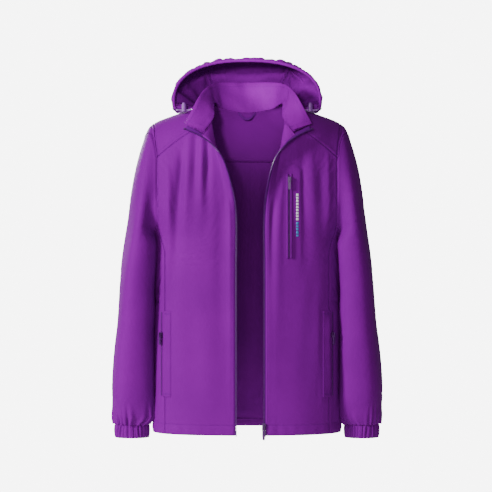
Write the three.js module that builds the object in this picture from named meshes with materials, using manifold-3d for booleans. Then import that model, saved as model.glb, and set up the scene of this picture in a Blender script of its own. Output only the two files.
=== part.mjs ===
// Hooded shell jacket, hung by its neck loop with the front zip open.
// Millimetres, +Z up, the front faces -Y, +X is the wearer's left.
// The origin is the hang loop, at the middle of the back neck seam.
import * as THREE from "three";
import { mergeVertices } from "three/addons/utils/BufferGeometryUtils.js";
import Module from "manifold-3d";

const wasm = await Module();
wasm.setup();

// ---- driving dimensions ---------------------------------------------------
const HEM_Z = -652;                 // lower edge of the body
const BODY_HALF_WIDTH = 190;        // at the hem and up to the armpit
const CHEST_HALF_WIDTH = 226;       // virtual width that carries the armholes
const BODY_HALF_DEPTH = 95;
const DEPTH_FOLLOW = BODY_HALF_DEPTH / 95;   // the collar's wings were drawn on a half depth of 95
const SECTION_POWER = 2.5;          // roundness of the body's section
const SHOULDER_ROUND = 120;         // height over which the shoulders round over
const RIDGE_TOP = 25;               // height of the shoulder line at the middle
const RIDGE_FALL = 0.0193;          // how fast the shoulder line falls
const SHOULDER_POINT_X = 190;
const ARMHOLE_FRONT_X = 180;
const ARMHOLE_BOTTOM = -262;
const YOKE_SEAM_Z = -98;            // where the yoke seams meet the armhole
const PRINCESS_X = 165;
const PRINCESS_TOP = -234;
const PRINCESS_STRAIGHT = -294;
const FABRIC = 1.2;
const SEAM_GAP = 0.5;
const ARMHOLE_GAP = 1.2;
const PRINCESS_GAP = 1.4;
const LAYER_GAP = 1.2;              // between the outer cloth and a facing behind it
const SIDE_REACH = 60;              // from the middle of a side panel to its seam
const BREAK_Z = -214;               // below it the front edge is straight
const LAPEL_WIDTH = 25;
const COLLAR_STAND = 62;
const HOOD_HALF_WIDTH = 152;
const HOOD_TOP = 104;
const HOOD_DEPTH = 122;
const HOOD_HEM_WIDTH = 16;
const CORD_RADIUS = 1.5;
const TEETH_WIDTH = 3;
const TEETH_THICK = 2.4;
const TAPE_WIDTH = 4.4;
const ZIP_GAP = 0.35;
const CUFF_HEIGHT = 28;
const CUFF_HALF_WIDTH = 34;
const CUFF_HALF_DEPTH = 29;
const CUFF_TOP = -637.2;
const HAND_ZIP_TOP = -408;
const HAND_ZIP_LENGTH = 168;
const HAND_ZIP_X = 171;
const CHEST_ZIP_TOP = -136;
const CHEST_ZIP_LENGTH = 162;
const CHEST_ZIP_X = 84;
const SLIDER_GAP = 0.5;
const BAG_DEPTH = 4.6;              // from the outer cloth in to a pocket's bag
const FACING_REACH = 60;            // the hem facing starts this far from the front edge
const HEM_FACING_HEIGHT = 26;

// each side of the jacket: sign of X, and where its front edge and neck lie
const RIGHT = { sign: -1, name: "right", edgeX: 20, neckX: 71 };
const LEFT = { sign: 1, name: "left", edgeX: 32, neckX: 76 };

// The middle of the body's depth, so that the back neck seam lies at Y = 0.
const NECK_COS = 1 - RIDGE_TOP / SHOULDER_ROUND;
const MID_Y = -BODY_HALF_DEPTH * Math.sqrt(1 - NECK_COS * NECK_COS);

const jacket = new THREE.Group();

// ---- small helpers --------------------------------------------------------
const V = (x, y, z) => new THREE.Vector3(x, y, z);
const lerp = (a, b, t) => a + (b - a) * t;
const clamp01 = (t) => Math.min(1, Math.max(0, t));

function smooth(t) {
  const c = clamp01(t);
  return c * c * (3 - 2 * c);
}

function fabric(color, roughness = 0.62) {
  return () => new THREE.MeshStandardMaterial({ color, roughness, metalness: 0 });
}

const outerCloth = fabric(0x8a1fae);
const innerCloth = fabric(0x7a169a);
const trimCloth = fabric(0x5d0f78, 0.7);
const plastic = () => new THREE.MeshStandardMaterial({ color: 0x4a1460, roughness: 0.4, metalness: 0 });
const metal = () => new THREE.MeshStandardMaterial({ color: 0x6b3a80, roughness: 0.35, metalness: 0.8 });

function addMesh(name, geometry, material) {
  const mesh = new THREE.Mesh(geometry, material());
  mesh.name = name;
  jacket.add(mesh);
  return mesh;
}

// The direction along a line of the surface: the mean of the ways before and after a point.
function meanWay(before, point, after) {
  const first = point.clone().sub(before).normalize();
  return after.clone().sub(point).normalize().add(first);
}

// A closed body from a vertex grid made of two layers; "wrap" closes it around u.
function shellGeometry(surface, nu, nv, outer, inner, wrap = false) {
  const step = 1e-3;
  const cols = wrap ? nu : nu + 1;
  const rows = nv + 1;
  const positions = [];
  for (const offset of [outer, inner]) {
    for (let j = 0; j < rows; j += 1) {
      for (let i = 0; i < cols; i += 1) {
        const u = i / nu;
        const v = j / nv;
        const u0 = wrap ? u - step : Math.max(0, u - step);
        const u1 = wrap ? u + step : Math.min(1, u + step);
        const point = surface(u, v);
        const du = meanWay(surface(u0, v), point, surface(u1, v));
        const dv = meanWay(surface(u, Math.max(0, v - step)), point, surface(u, Math.min(1, v + step)));
        const normal = du.cross(dv).normalize();
        point.addScaledVector(normal, offset);
        positions.push(point.x, point.y, point.z);
      }
    }
  }
  const at = (layer, i, j) => layer * cols * rows + j * cols + (i % cols);
  const index = [];
  const quad = (a, b, c, d) => index.push(a, b, c, a, c, d);
  for (let j = 0; j < nv; j += 1) {
    for (let i = 0; i < nu; i += 1) {
      quad(at(0, i, j), at(0, i + 1, j), at(0, i + 1, j + 1), at(0, i, j + 1));
      quad(at(1, i, j), at(1, i, j + 1), at(1, i + 1, j + 1), at(1, i + 1, j));
    }
  }
  for (let i = 0; i < nu; i += 1) {
    quad(at(1, i, 0), at(1, i + 1, 0), at(0, i + 1, 0), at(0, i, 0));
    quad(at(0, i, nv), at(0, i + 1, nv), at(1, i + 1, nv), at(1, i, nv));
  }
  if (!wrap) {
    for (let j = 0; j < nv; j += 1) {
      quad(at(0, 0, j), at(0, 0, j + 1), at(1, 0, j + 1), at(1, 0, j));
      quad(at(1, nu, j), at(1, nu, j + 1), at(0, nu, j + 1), at(0, nu, j));
    }
  }
  return facingOut(positions, index);
}

// Turns every face round when the body would be inside out.
function facingOut(positions, index) {
  let volume = 0;
  const corner = (k) => V(positions[3 * k], positions[3 * k + 1], positions[3 * k + 2]);
  for (let t = 0; t < index.length; t += 3) {
    volume += corner(index[t]).dot(corner(index[t + 1]).cross(corner(index[t + 2])));
  }
  if (volume < 0) {
    for (let t = 0; t < index.length; t += 3) {
      [index[t + 1], index[t + 2]] = [index[t + 2], index[t + 1]];
    }
  }
  const geometry = new THREE.BufferGeometry();
  geometry.setAttribute("position", new THREE.Float32BufferAttribute(positions, 3));
  geometry.setIndex(index);
  return geometry;
}

// "side" is +1 where the surface's own normal points away from the body.
function sheet(name, surface, nu, nv, near, far, material, side = 1) {
  addMesh(name, shellGeometry(surface, nu, nv, -side * near, -side * far), material);
}

function toSolid(geometry) {
  const plain = geometry.clone();
  plain.deleteAttribute("normal");
  plain.deleteAttribute("uv");
  const merged = mergeVertices(plain, 1e-4);
  return new wasm.Manifold(new wasm.Mesh({
    numProp: 3,
    vertProperties: new Float32Array(merged.attributes.position.array),
    triVerts: new Uint32Array(merged.index.array),
  }));
}

function fromSolid(solid) {
  const mesh = solid.getMesh();
  const geometry = new THREE.BufferGeometry();
  geometry.setAttribute("position", new THREE.BufferAttribute(new Float32Array(mesh.vertProperties), 3));
  geometry.setIndex(Array.from(mesh.triVerts));
  return geometry;
}

function moved(geometry, x, y, z) {
  geometry.translate(x, y, z);
  return geometry;
}

// An outline in X and Z, given a thickness along Y that starts at y = 0 and goes to -depth.
function plate(points, depth, hole = null) {
  const shape = new THREE.Shape(points.map(([x, z]) => new THREE.Vector2(x, z)));
  if (hole) {
    shape.holes.push(new THREE.Path(hole.map(([x, z]) => new THREE.Vector2(x, z))));
  }
  const geometry = new THREE.ExtrudeGeometry(shape, { depth, bevelEnabled: false });
  geometry.rotateX(Math.PI / 2);
  return geometry;
}

function tube(points, radius, steps, sides = 8) {
  const curve = new THREE.CatmullRomCurve3(points);
  const section = new THREE.Shape();
  section.absarc(0, 0, radius, 0, 2 * Math.PI, false);
  return new THREE.ExtrudeGeometry(section, { steps, extrudePath: curve, curveSegments: sides / 2 });
}

// ---- the body's surface ---------------------------------------------------
function ridgeZ(x) {
  const ax = Math.abs(x);
  const drop = Math.max(0, ax - 176);
  return RIDGE_TOP - RIDGE_FALL * ax ** 1.5 - 0.013 * drop * drop;
}

function halfWidth(z) {
  const rise = smooth((z - ARMHOLE_BOTTOM) / 70);
  return lerp(BODY_HALF_WIDTH, CHEST_HALF_WIDTH, rise);
}

function depthAt(x, z) {
  const share = Math.min(1, Math.abs(x) / halfWidth(z)) ** SECTION_POWER;
  return BODY_HALF_DEPTH * (1 - share) ** (1 / SECTION_POWER);
}

function roundOver(x, z) {
  const h = Math.min(SHOULDER_ROUND, Math.max(0, ridgeZ(x) - z));
  const c = 1 - h / SHOULDER_ROUND;
  return Math.sqrt(Math.max(0, 1 - c * c));
}

// face is -1 on the front and +1 on the back
function bodyPoint(x, z, face) {
  return V(x, MID_Y + face * depthAt(x, z) * roundOver(x, z), z);
}

function princessX(z) {
  const up = smooth((z - PRINCESS_STRAIGHT) / (PRINCESS_TOP - PRINCESS_STRAIGHT));
  return lerp(PRINCESS_X, ARMHOLE_FRONT_X, up);
}

function sideAngle(z) {
  return Math.acos(Math.min(1, princessX(z) / halfWidth(z)) ** (SECTION_POWER / 2));
}

// across runs from -1 at the front princess seam to +1 at the back one
function sidePoint(across, z, sign) {
  const angle = across * sideAngle(z);
  const x = halfWidth(z) * Math.cos(angle) ** (2 / SECTION_POWER);
  const y = BODY_HALF_DEPTH * Math.sign(angle) * Math.abs(Math.sin(angle)) ** (2 / SECTION_POWER);
  return V(sign * x, MID_Y + y, z);
}

function sideTop(across) {
  return lerp(ARMHOLE_BOTTOM, PRINCESS_TOP, across * across);
}

// ---- the armhole, as a loop in phi: 0 at the shoulder, pi at the armpit --------
const ARMHOLE_TOP = ridgeZ(SHOULDER_POINT_X);

function armholePoint(phi, sign) {
  const middle = (ARMHOLE_TOP + ARMHOLE_BOTTOM) / 2;
  const z = middle + (ARMHOLE_TOP - ARMHOLE_BOTTOM) / 2 * Math.cos(phi);
  const face = Math.sin(phi) < 0 ? 1 : -1;
  if (z < PRINCESS_TOP) {
    const across = Math.sqrt(clamp01((z - ARMHOLE_BOTTOM) / (PRINCESS_TOP - ARMHOLE_BOTTOM)));
    return sidePoint(face * across, z, sign);
  }
  return bodyPoint(sign * armholeX(z), z, face);
}

function armholeX(z) {
  const up = clamp01((z - YOKE_SEAM_Z) / (ARMHOLE_TOP - YOKE_SEAM_Z));
  return lerp(ARMHOLE_FRONT_X, SHOULDER_POINT_X, up);
}

// ---- front edge, lapel and neck seam --------------------------------------
// Keys run from the hem to the neck seam: distance from the middle, height, and how far
// the edge stands in front of the body where the lapel opens.
const EDGE_KEYS = [[0, HEM_Z, 0], [0, -540, 0], [0, -430, 0], [0, -320, 0], [0, BREAK_Z, 2],
  [9, -158, 12], [28, -104, 22], [52, -76, 26], [72, -61, 24]];
const ROLL_KEYS = [[LAPEL_WIDTH, HEM_Z], [LAPEL_WIDTH, -540], [LAPEL_WIDTH, -430], [LAPEL_WIDTH, -320],
  [LAPEL_WIDTH - 1, BREAK_Z], [26, -162], [34, -112], [44, -66], [51, -26]];
const OUTER_LEVELS = [HEM_Z, -540, -430, -320, PRINCESS_TOP - 10, -200, -165, -130, YOKE_SEAM_Z];

// The two sides differ in the distance of their front edge from the middle.
function sideShift(side, up) {
  return lerp(side.edgeX, side.neckX - ROLL_KEYS[ROLL_KEYS.length - 1][0], up);
}

function alongKeys(keys, b) {
  const points = keys.map((k) => V(k[0], k[1], k[2] ?? 0));
  return new THREE.CatmullRomCurve3(points, false, "catmullrom", 0.5).getPoint(clamp01(b));
}

function shiftShare(z) {
  return smooth((z - BREAK_Z) / (-26 - BREAK_Z));
}

function edgePoint(b, side) {
  const key = alongKeys(EDGE_KEYS, b);
  const x = key.x + sideShift(side, shiftShare(key.y));
  const point = bodyPoint(side.sign * x, key.y, -1);
  point.y -= key.z;
  return point;
}

function rollPoint(b, side) {
  const key = alongKeys(ROLL_KEYS, b);
  return bodyPoint(side.sign * (key.x + sideShift(side, shiftShare(key.y))), key.y, -1);
}

function outerLevel(b) {
  const place = clamp01(b) * (OUTER_LEVELS.length - 1);
  const k = Math.min(OUTER_LEVELS.length - 2, Math.floor(place));
  return lerp(OUTER_LEVELS[k], OUTER_LEVELS[k + 1], place - k);
}

function outerX(z) {
  return z < PRINCESS_TOP ? princessX(z) : armholeX(z);
}

// The way from the zip edge to the roll line, "across" millimetres from the edge.
function lapelPoint(across, b, side) {
  const from = edgePoint(b, side);
  const way = rollPoint(b, side).sub(from);
  return from.addScaledVector(way, across / way.length());
}

const EDGE_CLOTH = TEETH_WIDTH + TAPE_WIDTH + 2 * ZIP_GAP;
const LAPEL_COLUMNS = 2;
const FRONT_COLUMNS = 9;
const FRONT_ROWS = 12;

// "columns" of the front's grid, counted from the zip edge; the first ones lie on the lapel.
function frontSurface(side, columns) {
  const lapelShare = LAPEL_COLUMNS / columns;
  const bodyColumns = FRONT_COLUMNS - LAPEL_COLUMNS;
  const farShare = (columns - LAPEL_COLUMNS) / bodyColumns;
  return (a, b) => {
    const row = b * (1 - 0.6 / 700);
    if (a <= lapelShare) {
      const width = rollPoint(row, side).distanceTo(edgePoint(row, side));
      return lapelPoint(lerp(EDGE_CLOTH, width, a / lapelShare), row, side);
    }
    const start = alongKeys(ROLL_KEYS, row);
    const startX = start.x + sideShift(side, shiftShare(start.y));
    const endZ = outerLevel(row);
    const gap = endZ < PRINCESS_TOP ? SEAM_GAP : ARMHOLE_GAP;
    const endX = outerX(endZ) - gap;
    const s = (a - lapelShare) / (1 - lapelShare) * farShare;
    const arch = 7 * Math.sin(Math.PI * s) * smooth((row - 0.6) / 0.4);
    return bodyPoint(side.sign * lerp(startX, endX, s), lerp(start.y, endZ, s) + arch - SEAM_GAP * s, -1);
  };
}

function makeFront(side) {
  sheet(`front_panel_${side.name}`, frontSurface(side, FRONT_COLUMNS), FRONT_COLUMNS, FRONT_ROWS,
    0, FABRIC, outerCloth, side.sign);
  sheet(`front_facing_${side.name}`, frontSurface(side, LAPEL_COLUMNS + 1), LAPEL_COLUMNS + 1, FRONT_ROWS,
    FABRIC + LAYER_GAP, 2 * FABRIC + LAYER_GAP, innerCloth, side.sign);
}

const SIDE_ROWS = 7;
const SIDE_LEVELS = SIDE_ROWS - 1;  // rows whose ends lie level with the front panel's rows

function makeSidePanel(side) {
  const seamTop = PRINCESS_TOP - ARMHOLE_GAP;
  const surface = (a, b) => {
    const across = lerp(-1, 1, a);
    const row = b * SIDE_ROWS;
    const last = outerLevel(SIDE_LEVELS / FRONT_ROWS);
    const level = row <= SIDE_LEVELS ? outerLevel(row / FRONT_ROWS) : lerp(last, seamTop, row - SIDE_LEVELS);
    const share = (sideTop(across) - ARMHOLE_GAP - HEM_Z) / (seamTop - HEM_Z);
    return sidePoint(across * (1 - PRINCESS_GAP / SIDE_REACH), HEM_Z + (level - HEM_Z) * share, side.sign);
  };
  sheet(`side_panel_${side.name}`, surface, 6, SIDE_ROWS, 0, FABRIC, outerCloth, side.sign);
}

const BACK_COLUMNS = 12;
const BACK_CROWD = 1.25;            // draws the back's columns together towards its seams

function makeBackPanel() {
  const surface = (a, b) => {
    const z = outerLevel(b) - SEAM_GAP * b;
    const gap = z < PRINCESS_TOP ? SEAM_GAP : ARMHOLE_GAP;
    const across = Math.sin(BACK_CROWD * lerp(-1, 1, a)) / Math.sin(BACK_CROWD);
    return bodyPoint(across * (outerX(z) - gap), z, 1);
  };
  sheet("back_panel", surface, BACK_COLUMNS, FRONT_ROWS, 0, FABRIC, outerCloth, -1);
}

// ---- yokes ----------------------------------------------------------------
function frontYokeSeamZ(s) {
  const end = alongKeys(ROLL_KEYS, 1);
  return lerp(end.y, YOKE_SEAM_Z, s) + 7 * Math.sin(Math.PI * s) + SEAM_GAP / 2;
}

function makeShoulderYoke(side) {
  const surface = (a, b) => {
    const seamX = lerp(side.neckX + SEAM_GAP, ARMHOLE_FRONT_X - ARMHOLE_GAP, a);
    const topX = lerp(side.neckX + SEAM_GAP, SHOULDER_POINT_X - ARMHOLE_GAP, a);
    const x = lerp(seamX, topX, b);
    const top = ridgeZ(x);
    const fallSeam = Math.acos(1 - (top - frontYokeSeamZ(a)) / SHOULDER_ROUND);
    const angle = lerp(fallSeam, 0.012, b);
    const z = top - SHOULDER_ROUND * (1 - Math.cos(angle));
    return V(side.sign * x, MID_Y - depthAt(x, z) * Math.sin(angle), z);
  };
  sheet(`shoulder_yoke_${side.name}`, surface, 6, 5, 0, FABRIC, outerCloth, side.sign);
}

// Height of the neck seam on the back, at a distance x from the middle.
function neckSeamZ(x, neckX) {
  return ridgeZ(neckX) * (x / neckX) ** 2;
}

function makeBackYoke() {
  const surface = (a, b) => {
    const share = lerp(-1, 1, a);
    const side = share < 0 ? RIGHT : LEFT;
    const seamX = share * (ARMHOLE_FRONT_X - ARMHOLE_GAP);
    const topX = share * (SHOULDER_POINT_X - ARMHOLE_GAP);
    const x = lerp(seamX, topX, b);
    const top = ridgeZ(x);
    const onNeck = Math.abs(x) < side.neckX;
    const neckFall = onNeck ? Math.acos(1 - (top - neckSeamZ(Math.abs(x), side.neckX)) / SHOULDER_ROUND) : 0;
    const seamFall = Math.acos(1 - Math.min(SHOULDER_ROUND, top - YOKE_SEAM_Z) / SHOULDER_ROUND);
    const angle = lerp(seamFall, Math.max(0.012, neckFall), b);
    const z = top - SHOULDER_ROUND * (1 - Math.cos(angle));
    return V(x, MID_Y + depthAt(x, z) * Math.sin(angle), z);
  };
  sheet("back_yoke", surface, 16, 5, 0, FABRIC, outerCloth, -1);
}

// ---- collar ---------------------------------------------------------------
const COLLAR_LIFT = 1.8;

function collarBaseHalf(side) {
  const n = side.neckX;
  const rise = V(0, 0, COLLAR_LIFT);
  return [
    edgePoint(1, side).add(V(side.sign * 1, 0, COLLAR_LIFT)),
    rollPoint(1, side).add(rise),
    bodyPoint(side.sign * (n - 1), -2, -1).add(rise),
    bodyPoint(side.sign * (n - 2), ridgeZ(n) - 0.5, -1).add(rise),
    bodyPoint(side.sign * n * 0.7, neckSeamZ(n * 0.7, n), 1).add(V(0, -1.5, COLLAR_LIFT)),
    V(0, -1.5, COLLAR_LIFT),
  ];
}

function collarTopHalf(side) {
  const s = side.sign;
  const n = side.neckX;
  return [
    V(s * (n + 57), -137 * DEPTH_FOLLOW, -43),
    V(s * (n + 40), -131 * DEPTH_FOLLOW, -8),
    V(s * (n + 25), -116 * DEPTH_FOLLOW, 22),
    V(s * (n + 9), -75, 46),
    V(s * n * 0.8, -22, COLLAR_STAND - 3),
    V(0, 8, COLLAR_STAND),
  ];
}

function bothHalves(half) {
  const right = half(RIGHT);
  const left = half(LEFT).reverse().slice(1);
  return new THREE.CatmullRomCurve3([...right, ...left], false, "catmullrom", 0.5);
}

const collarBase = bothHalves(collarBaseHalf);
const collarTop = bothHalves(collarTopHalf);
const COLLAR_END = 0.028;           // the zip tape takes the first stretch at each end

function collarPoint(s, t) {
  return collarBase.getPoint(clamp01(s)).lerp(collarTop.getPoint(clamp01(s)), t);
}

function makeCollar() {
  const surface = (a, b) => collarPoint(lerp(COLLAR_END, 1 - COLLAR_END, a), b);
  sheet("collar", surface, 24, 3, 0, FABRIC, outerCloth, -1);
  sheet("collar_facing", surface, 24, 3, FABRIC + LAYER_GAP, 2 * FABRIC + LAYER_GAP, innerCloth, -1);
}

// ---- sleeves --------------------------------------------------------------
// Outer and inner side lines of the hanging sleeve and half of its depth, shoulder to cuff.
const SLEEVE_OUTER = [[190, -28], [205, -43], [221, -104], [235, -176], [245, -250], [254, -320],
  [261, -395], [268, -460], [272, -520], [274, -580], [268, CUFF_TOP]];
const SLEEVE_INNER = [[190, -262], [195, -277], [196.5, -302], [197, -334], [197, -372], [197, -416],
  [197, -462], [196.5, -508], [196, -552], [195, -597], [199, CUFF_TOP]];
const SLEEVE_DEPTH = [67, 70, 74, 75, 74, 72, 68, 62, 55, 48, 31];

function keyed(keys, t) {
  const points = keys.map((k) => (Array.isArray(k) ? V(k[0], k[1], 0) : V(k, 0, 0)));
  return new THREE.CatmullRomCurve3(points, false, "catmullrom", 0.5).getPoint(clamp01(t));
}

const SLEEVE_JOIN_Z = ARMHOLE_BOTTOM - 8;  // the arm swings against the sleeve's top here
const SLEEVE_JOIN_GAP = 0.6;
const ARMHOLE_BLEND = 0.22;        // share of the sleeve over which the armhole's shape fades

function sleevePoint(phi, t, sign) {
  const outer = keyed(SLEEVE_OUTER, t);
  const inner = keyed(SLEEVE_INNER, t);
  const depth = keyed(SLEEVE_DEPTH, t).x;
  const c = Math.cos(phi);
  const x = (outer.x + inner.x) / 2 + (outer.x - inner.x) / 2 * c;
  const z = (outer.y + inner.y) / 2 + (outer.y - inner.y) / 2 * c;
  const round = V(sign * x, MID_Y - depth * Math.sin(phi), z);
  const loop = armholePoint(phi, sign);
  const away = 1 - (1 - clamp01(t / ARMHOLE_BLEND)) ** 2;
  return loop.lerp(round, away).add(V(sign * ARMHOLE_GAP * (1 - smooth(t / 0.05)) / 2, 0, 0));
}

const CAP_REACH = 0.13;
const CAP_TIP = 0.004;              // the cap's reach at its two ends
const CAP_GAP = 0.0015;
const SLEEVE_COLUMNS = 16;
const CAP_COLUMNS = 6;              // the cap's columns are the sleeve's, so their edges match
const CAP_SPREAD = Math.PI * CAP_COLUMNS / SLEEVE_COLUMNS;

function capEdge(phi) {
  const wrapped = Math.atan2(Math.sin(phi), Math.cos(phi));
  const share = Math.abs(wrapped) / CAP_SPREAD;
  return share < 1.01 ? CAP_TIP + CAP_REACH * Math.cos(Math.min(1, share) * Math.PI / 2) ** 2 : 0;
}

function makeSleeve(side) {
  const sign = side.sign;
  const cap = (a, b) => {
    const phi = lerp(-CAP_SPREAD, CAP_SPREAD, a);
    return sleevePoint(phi, lerp(0, capEdge(phi) - CAP_GAP, b), sign);
  };
  sheet(`sleeve_cap_${side.name}`, cap, CAP_COLUMNS, 2, 0, FABRIC, outerCloth, sign);
  const body = (a, b) => {
    const phi = 2 * Math.PI * a;
    return sleevePoint(phi, lerp(capEdge(phi), 1, b), sign);
  };
  const shell = toSolid(shellGeometry(body, SLEEVE_COLUMNS, 11, 0, -sign * FABRIC, true));
  const half = SLEEVE_JOIN_GAP / 2;
  const top = shell.trimByPlane([0, 0, 1], SLEEVE_JOIN_Z + half);
  const arm = shell.trimByPlane([0, 0, -1], half - SLEEVE_JOIN_Z);
  addMesh(`sleeve_top_${side.name}`, fromSolid(top), outerCloth);
  addMesh(`sleeve_${side.name}`, fromSolid(arm), outerCloth);
}

function cuffPoint(phi, t, inset, side) {
  const middle = side.sign * (SLEEVE_OUTER.at(-1)[0] + SLEEVE_INNER.at(-1)[0]) / 2;
  const z = lerp(CUFF_TOP - SEAM_GAP, CUFF_TOP - CUFF_HEIGHT, t);
  const swell = 1 + 0.03 * Math.sin(Math.PI * t);
  const halfX = (CUFF_HALF_WIDTH - inset) * swell;
  const halfY = (CUFF_HALF_DEPTH - inset) * swell;
  return V(middle + side.sign * halfX * Math.cos(phi), MID_Y - halfY * Math.sin(phi), z);
}

function makeCuff(side) {
  const ring = (inset, inLift) => (a, b) => {
    return cuffPoint(2 * Math.PI * a, lerp(inLift, 1 - inLift, b), inset, side);
  };
  addMesh(`cuff_${side.name}`,
    shellGeometry(ring(0, 0), 16, 2, 0, -side.sign * FABRIC, true), outerCloth);
  addMesh(`cuff_elastic_${side.name}`,
    shellGeometry(ring(FABRIC + 0.8, 0.12), 16, 1, 0, -side.sign * FABRIC, true), trimCloth);
}

// ---- hood -----------------------------------------------------------------
const HOOD_POWER = 2.4;
const HOOD_SIDE_Z = 14;             // height at which the rim is widest
const HOOD_SHIFT = MID_Y * (1 - 1 / DEPTH_FOLLOW);   // the crown goes with the rim on a deeper body
const HOOD_PROFILE = [[MID_Y - 8, HOOD_TOP], [HOOD_SHIFT - 10, HOOD_TOP + 8],
  [HOOD_SHIFT + 48, HOOD_TOP - 2], [92, 70],
  [HOOD_DEPTH - 6, 36], [HOOD_DEPTH - 14, 10], [62, 4], [5, 4]];
const HOOD_WIDTH = [HOOD_HALF_WIDTH, 151, 143, 130, 116, 102, 90, 76];
const HOOD_CENTRE_SHARE = 0.3;

function hoodPoint(u, v) {
  const middle = keyed(HOOD_PROFILE, v);
  const half = keyed(HOOD_WIDTH, v).x;
  const spread = lerp(115, 90, smooth((v - 0.15) / 0.6)) * Math.PI / 180;
  const angle = u * spread;
  const power = 2 / HOOD_POWER;
  const x = half * Math.sign(angle) * Math.abs(Math.sin(angle)) ** power;
  const cosine = Math.cos(angle);
  const rise = Math.sign(cosine) * Math.abs(cosine) ** power;
  const share = rise < 0 ? 0.45 * rise : rise;
  const endY = lerp(MID_Y - 26, MID_Y + 1, v);
  const endZ = lerp(HOOD_SIDE_Z, ridgeZ(LEFT.neckX) + 3, v);
  return V(x, lerp(endY, middle.x, Math.max(0, rise)), lerp(endZ, middle.y, share));
}

// The panels start where the folded hem ends.
function panelStart(u) {
  const rim = hoodPoint(u, 0);
  let v = 0.02;
  while (v < 0.9 && hoodPoint(u, v).distanceTo(rim) < HOOD_HEM_WIDTH + 3.5) {
    v += 0.005;
  }
  return v;
}

function makeHood() {
  const gapU = 0.0015;
  const panel = (from, to) => (a, b) => {
    const u = lerp(from, to, a);
    return hoodPoint(u, lerp(panelStart(u), 1, b));
  };
  sheet("hood_side_right", panel(-1, -HOOD_CENTRE_SHARE - gapU), 7, 8, 0, FABRIC, outerCloth, 1);
  sheet("hood_side_left", panel(HOOD_CENTRE_SHARE + gapU, 1), 7, 8, 0, FABRIC, outerCloth, 1);
  sheet("hood_centre", panel(-HOOD_CENTRE_SHARE, HOOD_CENTRE_SHARE), 6, 8, 0, FABRIC, outerCloth, 1);
}

// The rim's own directions: into the hood, and out of its cloth.
function rimFrame(u) {
  const d = 1e-3;
  const at = hoodPoint(u, 0);
  const inward = hoodPoint(u, 0.02).sub(at);
  const along = hoodPoint(Math.min(1, u + d), 0).sub(hoodPoint(Math.max(-1, u - d), 0)).normalize();
  inward.addScaledVector(along, -inward.dot(along)).normalize();
  const out = along.clone().cross(inward).normalize();
  return { at, inward, out };
}

const HEM_CLOTH = 0.8;
const HEM_ROUND = CORD_RADIUS + 1 + HEM_CLOTH;
const HEM_END = 0.93;
const CORD_EXIT = 0.965;            // the cord bends only after it has left the hem

function hemPoint(u, a) {
  const { at, inward, out } = rimFrame(u);
  const bend = HEM_ROUND;
  if (a < 0.35) {
    return at.addScaledVector(inward, lerp(HOOD_HEM_WIDTH, bend, a / 0.35));
  }
  if (a > 0.65) {
    const reach = lerp(bend, HOOD_HEM_WIDTH, (a - 0.65) / 0.35);
    return at.addScaledVector(inward, reach).addScaledVector(out, -2 * bend);
  }
  const turn = Math.PI * (a - 0.35) / 0.3;
  at.addScaledVector(inward, bend - bend * Math.sin(turn));
  return at.addScaledVector(out, -bend + bend * Math.cos(turn));
}

function makeHoodHem() {
  const surface = (a, b) => hemPoint(lerp(-HEM_END, HEM_END, a), b);
  sheet("hood_hem", surface, 34, 6, 0, HEM_CLOTH, outerCloth, -1);
}

// ---- drawcord and its locks ------------------------------------------------
const LOCK_AT = V(127, MID_Y - 42, 2);
const LOCK_RADIUS = 5;
const LOCK_HEIGHT = 15;
const LOCK_WALL = 1;
const BUTTON_TRAVEL = 2;
const CORD_DROP = -4.5;             // the cord's height in the lock, from the lock's middle

function cordPoint(u) {
  const { at, inward, out } = rimFrame(u);
  return at.addScaledVector(inward, HEM_ROUND + 1.5).addScaledVector(out, -HEM_ROUND - 0.05);
}

function cordTail(sign) {
  const lock = V(sign * LOCK_AT.x, LOCK_AT.y, LOCK_AT.z + CORD_DROP);
  const anchor = hoodPoint(sign, 0.3);
  return [
    ...[14, 7, 0, -7, -13].map((step) => V(lock.x + sign * step, lock.y, lock.z)),
    V(anchor.x + sign * 2, anchor.y - 9, anchor.z - 4),
    V(anchor.x + sign * 2, anchor.y, anchor.z - 4),
  ];
}

function makeDrawcord() {
  const channel = [];
  for (let k = -8; k <= 8; k += 1) {
    channel.push(cordPoint(HEM_END * k / 8));
  }
  const exits = [cordPoint(-CORD_EXIT), cordPoint(CORD_EXIT)];
  const route = [...cordTail(-1).reverse(), exits[0], ...channel, exits[1], ...cordTail(1)];
  addMesh("hood_drawcord", tube(route, CORD_RADIUS, 78, 6), fabric(0xd9c6df, 0.8));
}

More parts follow.
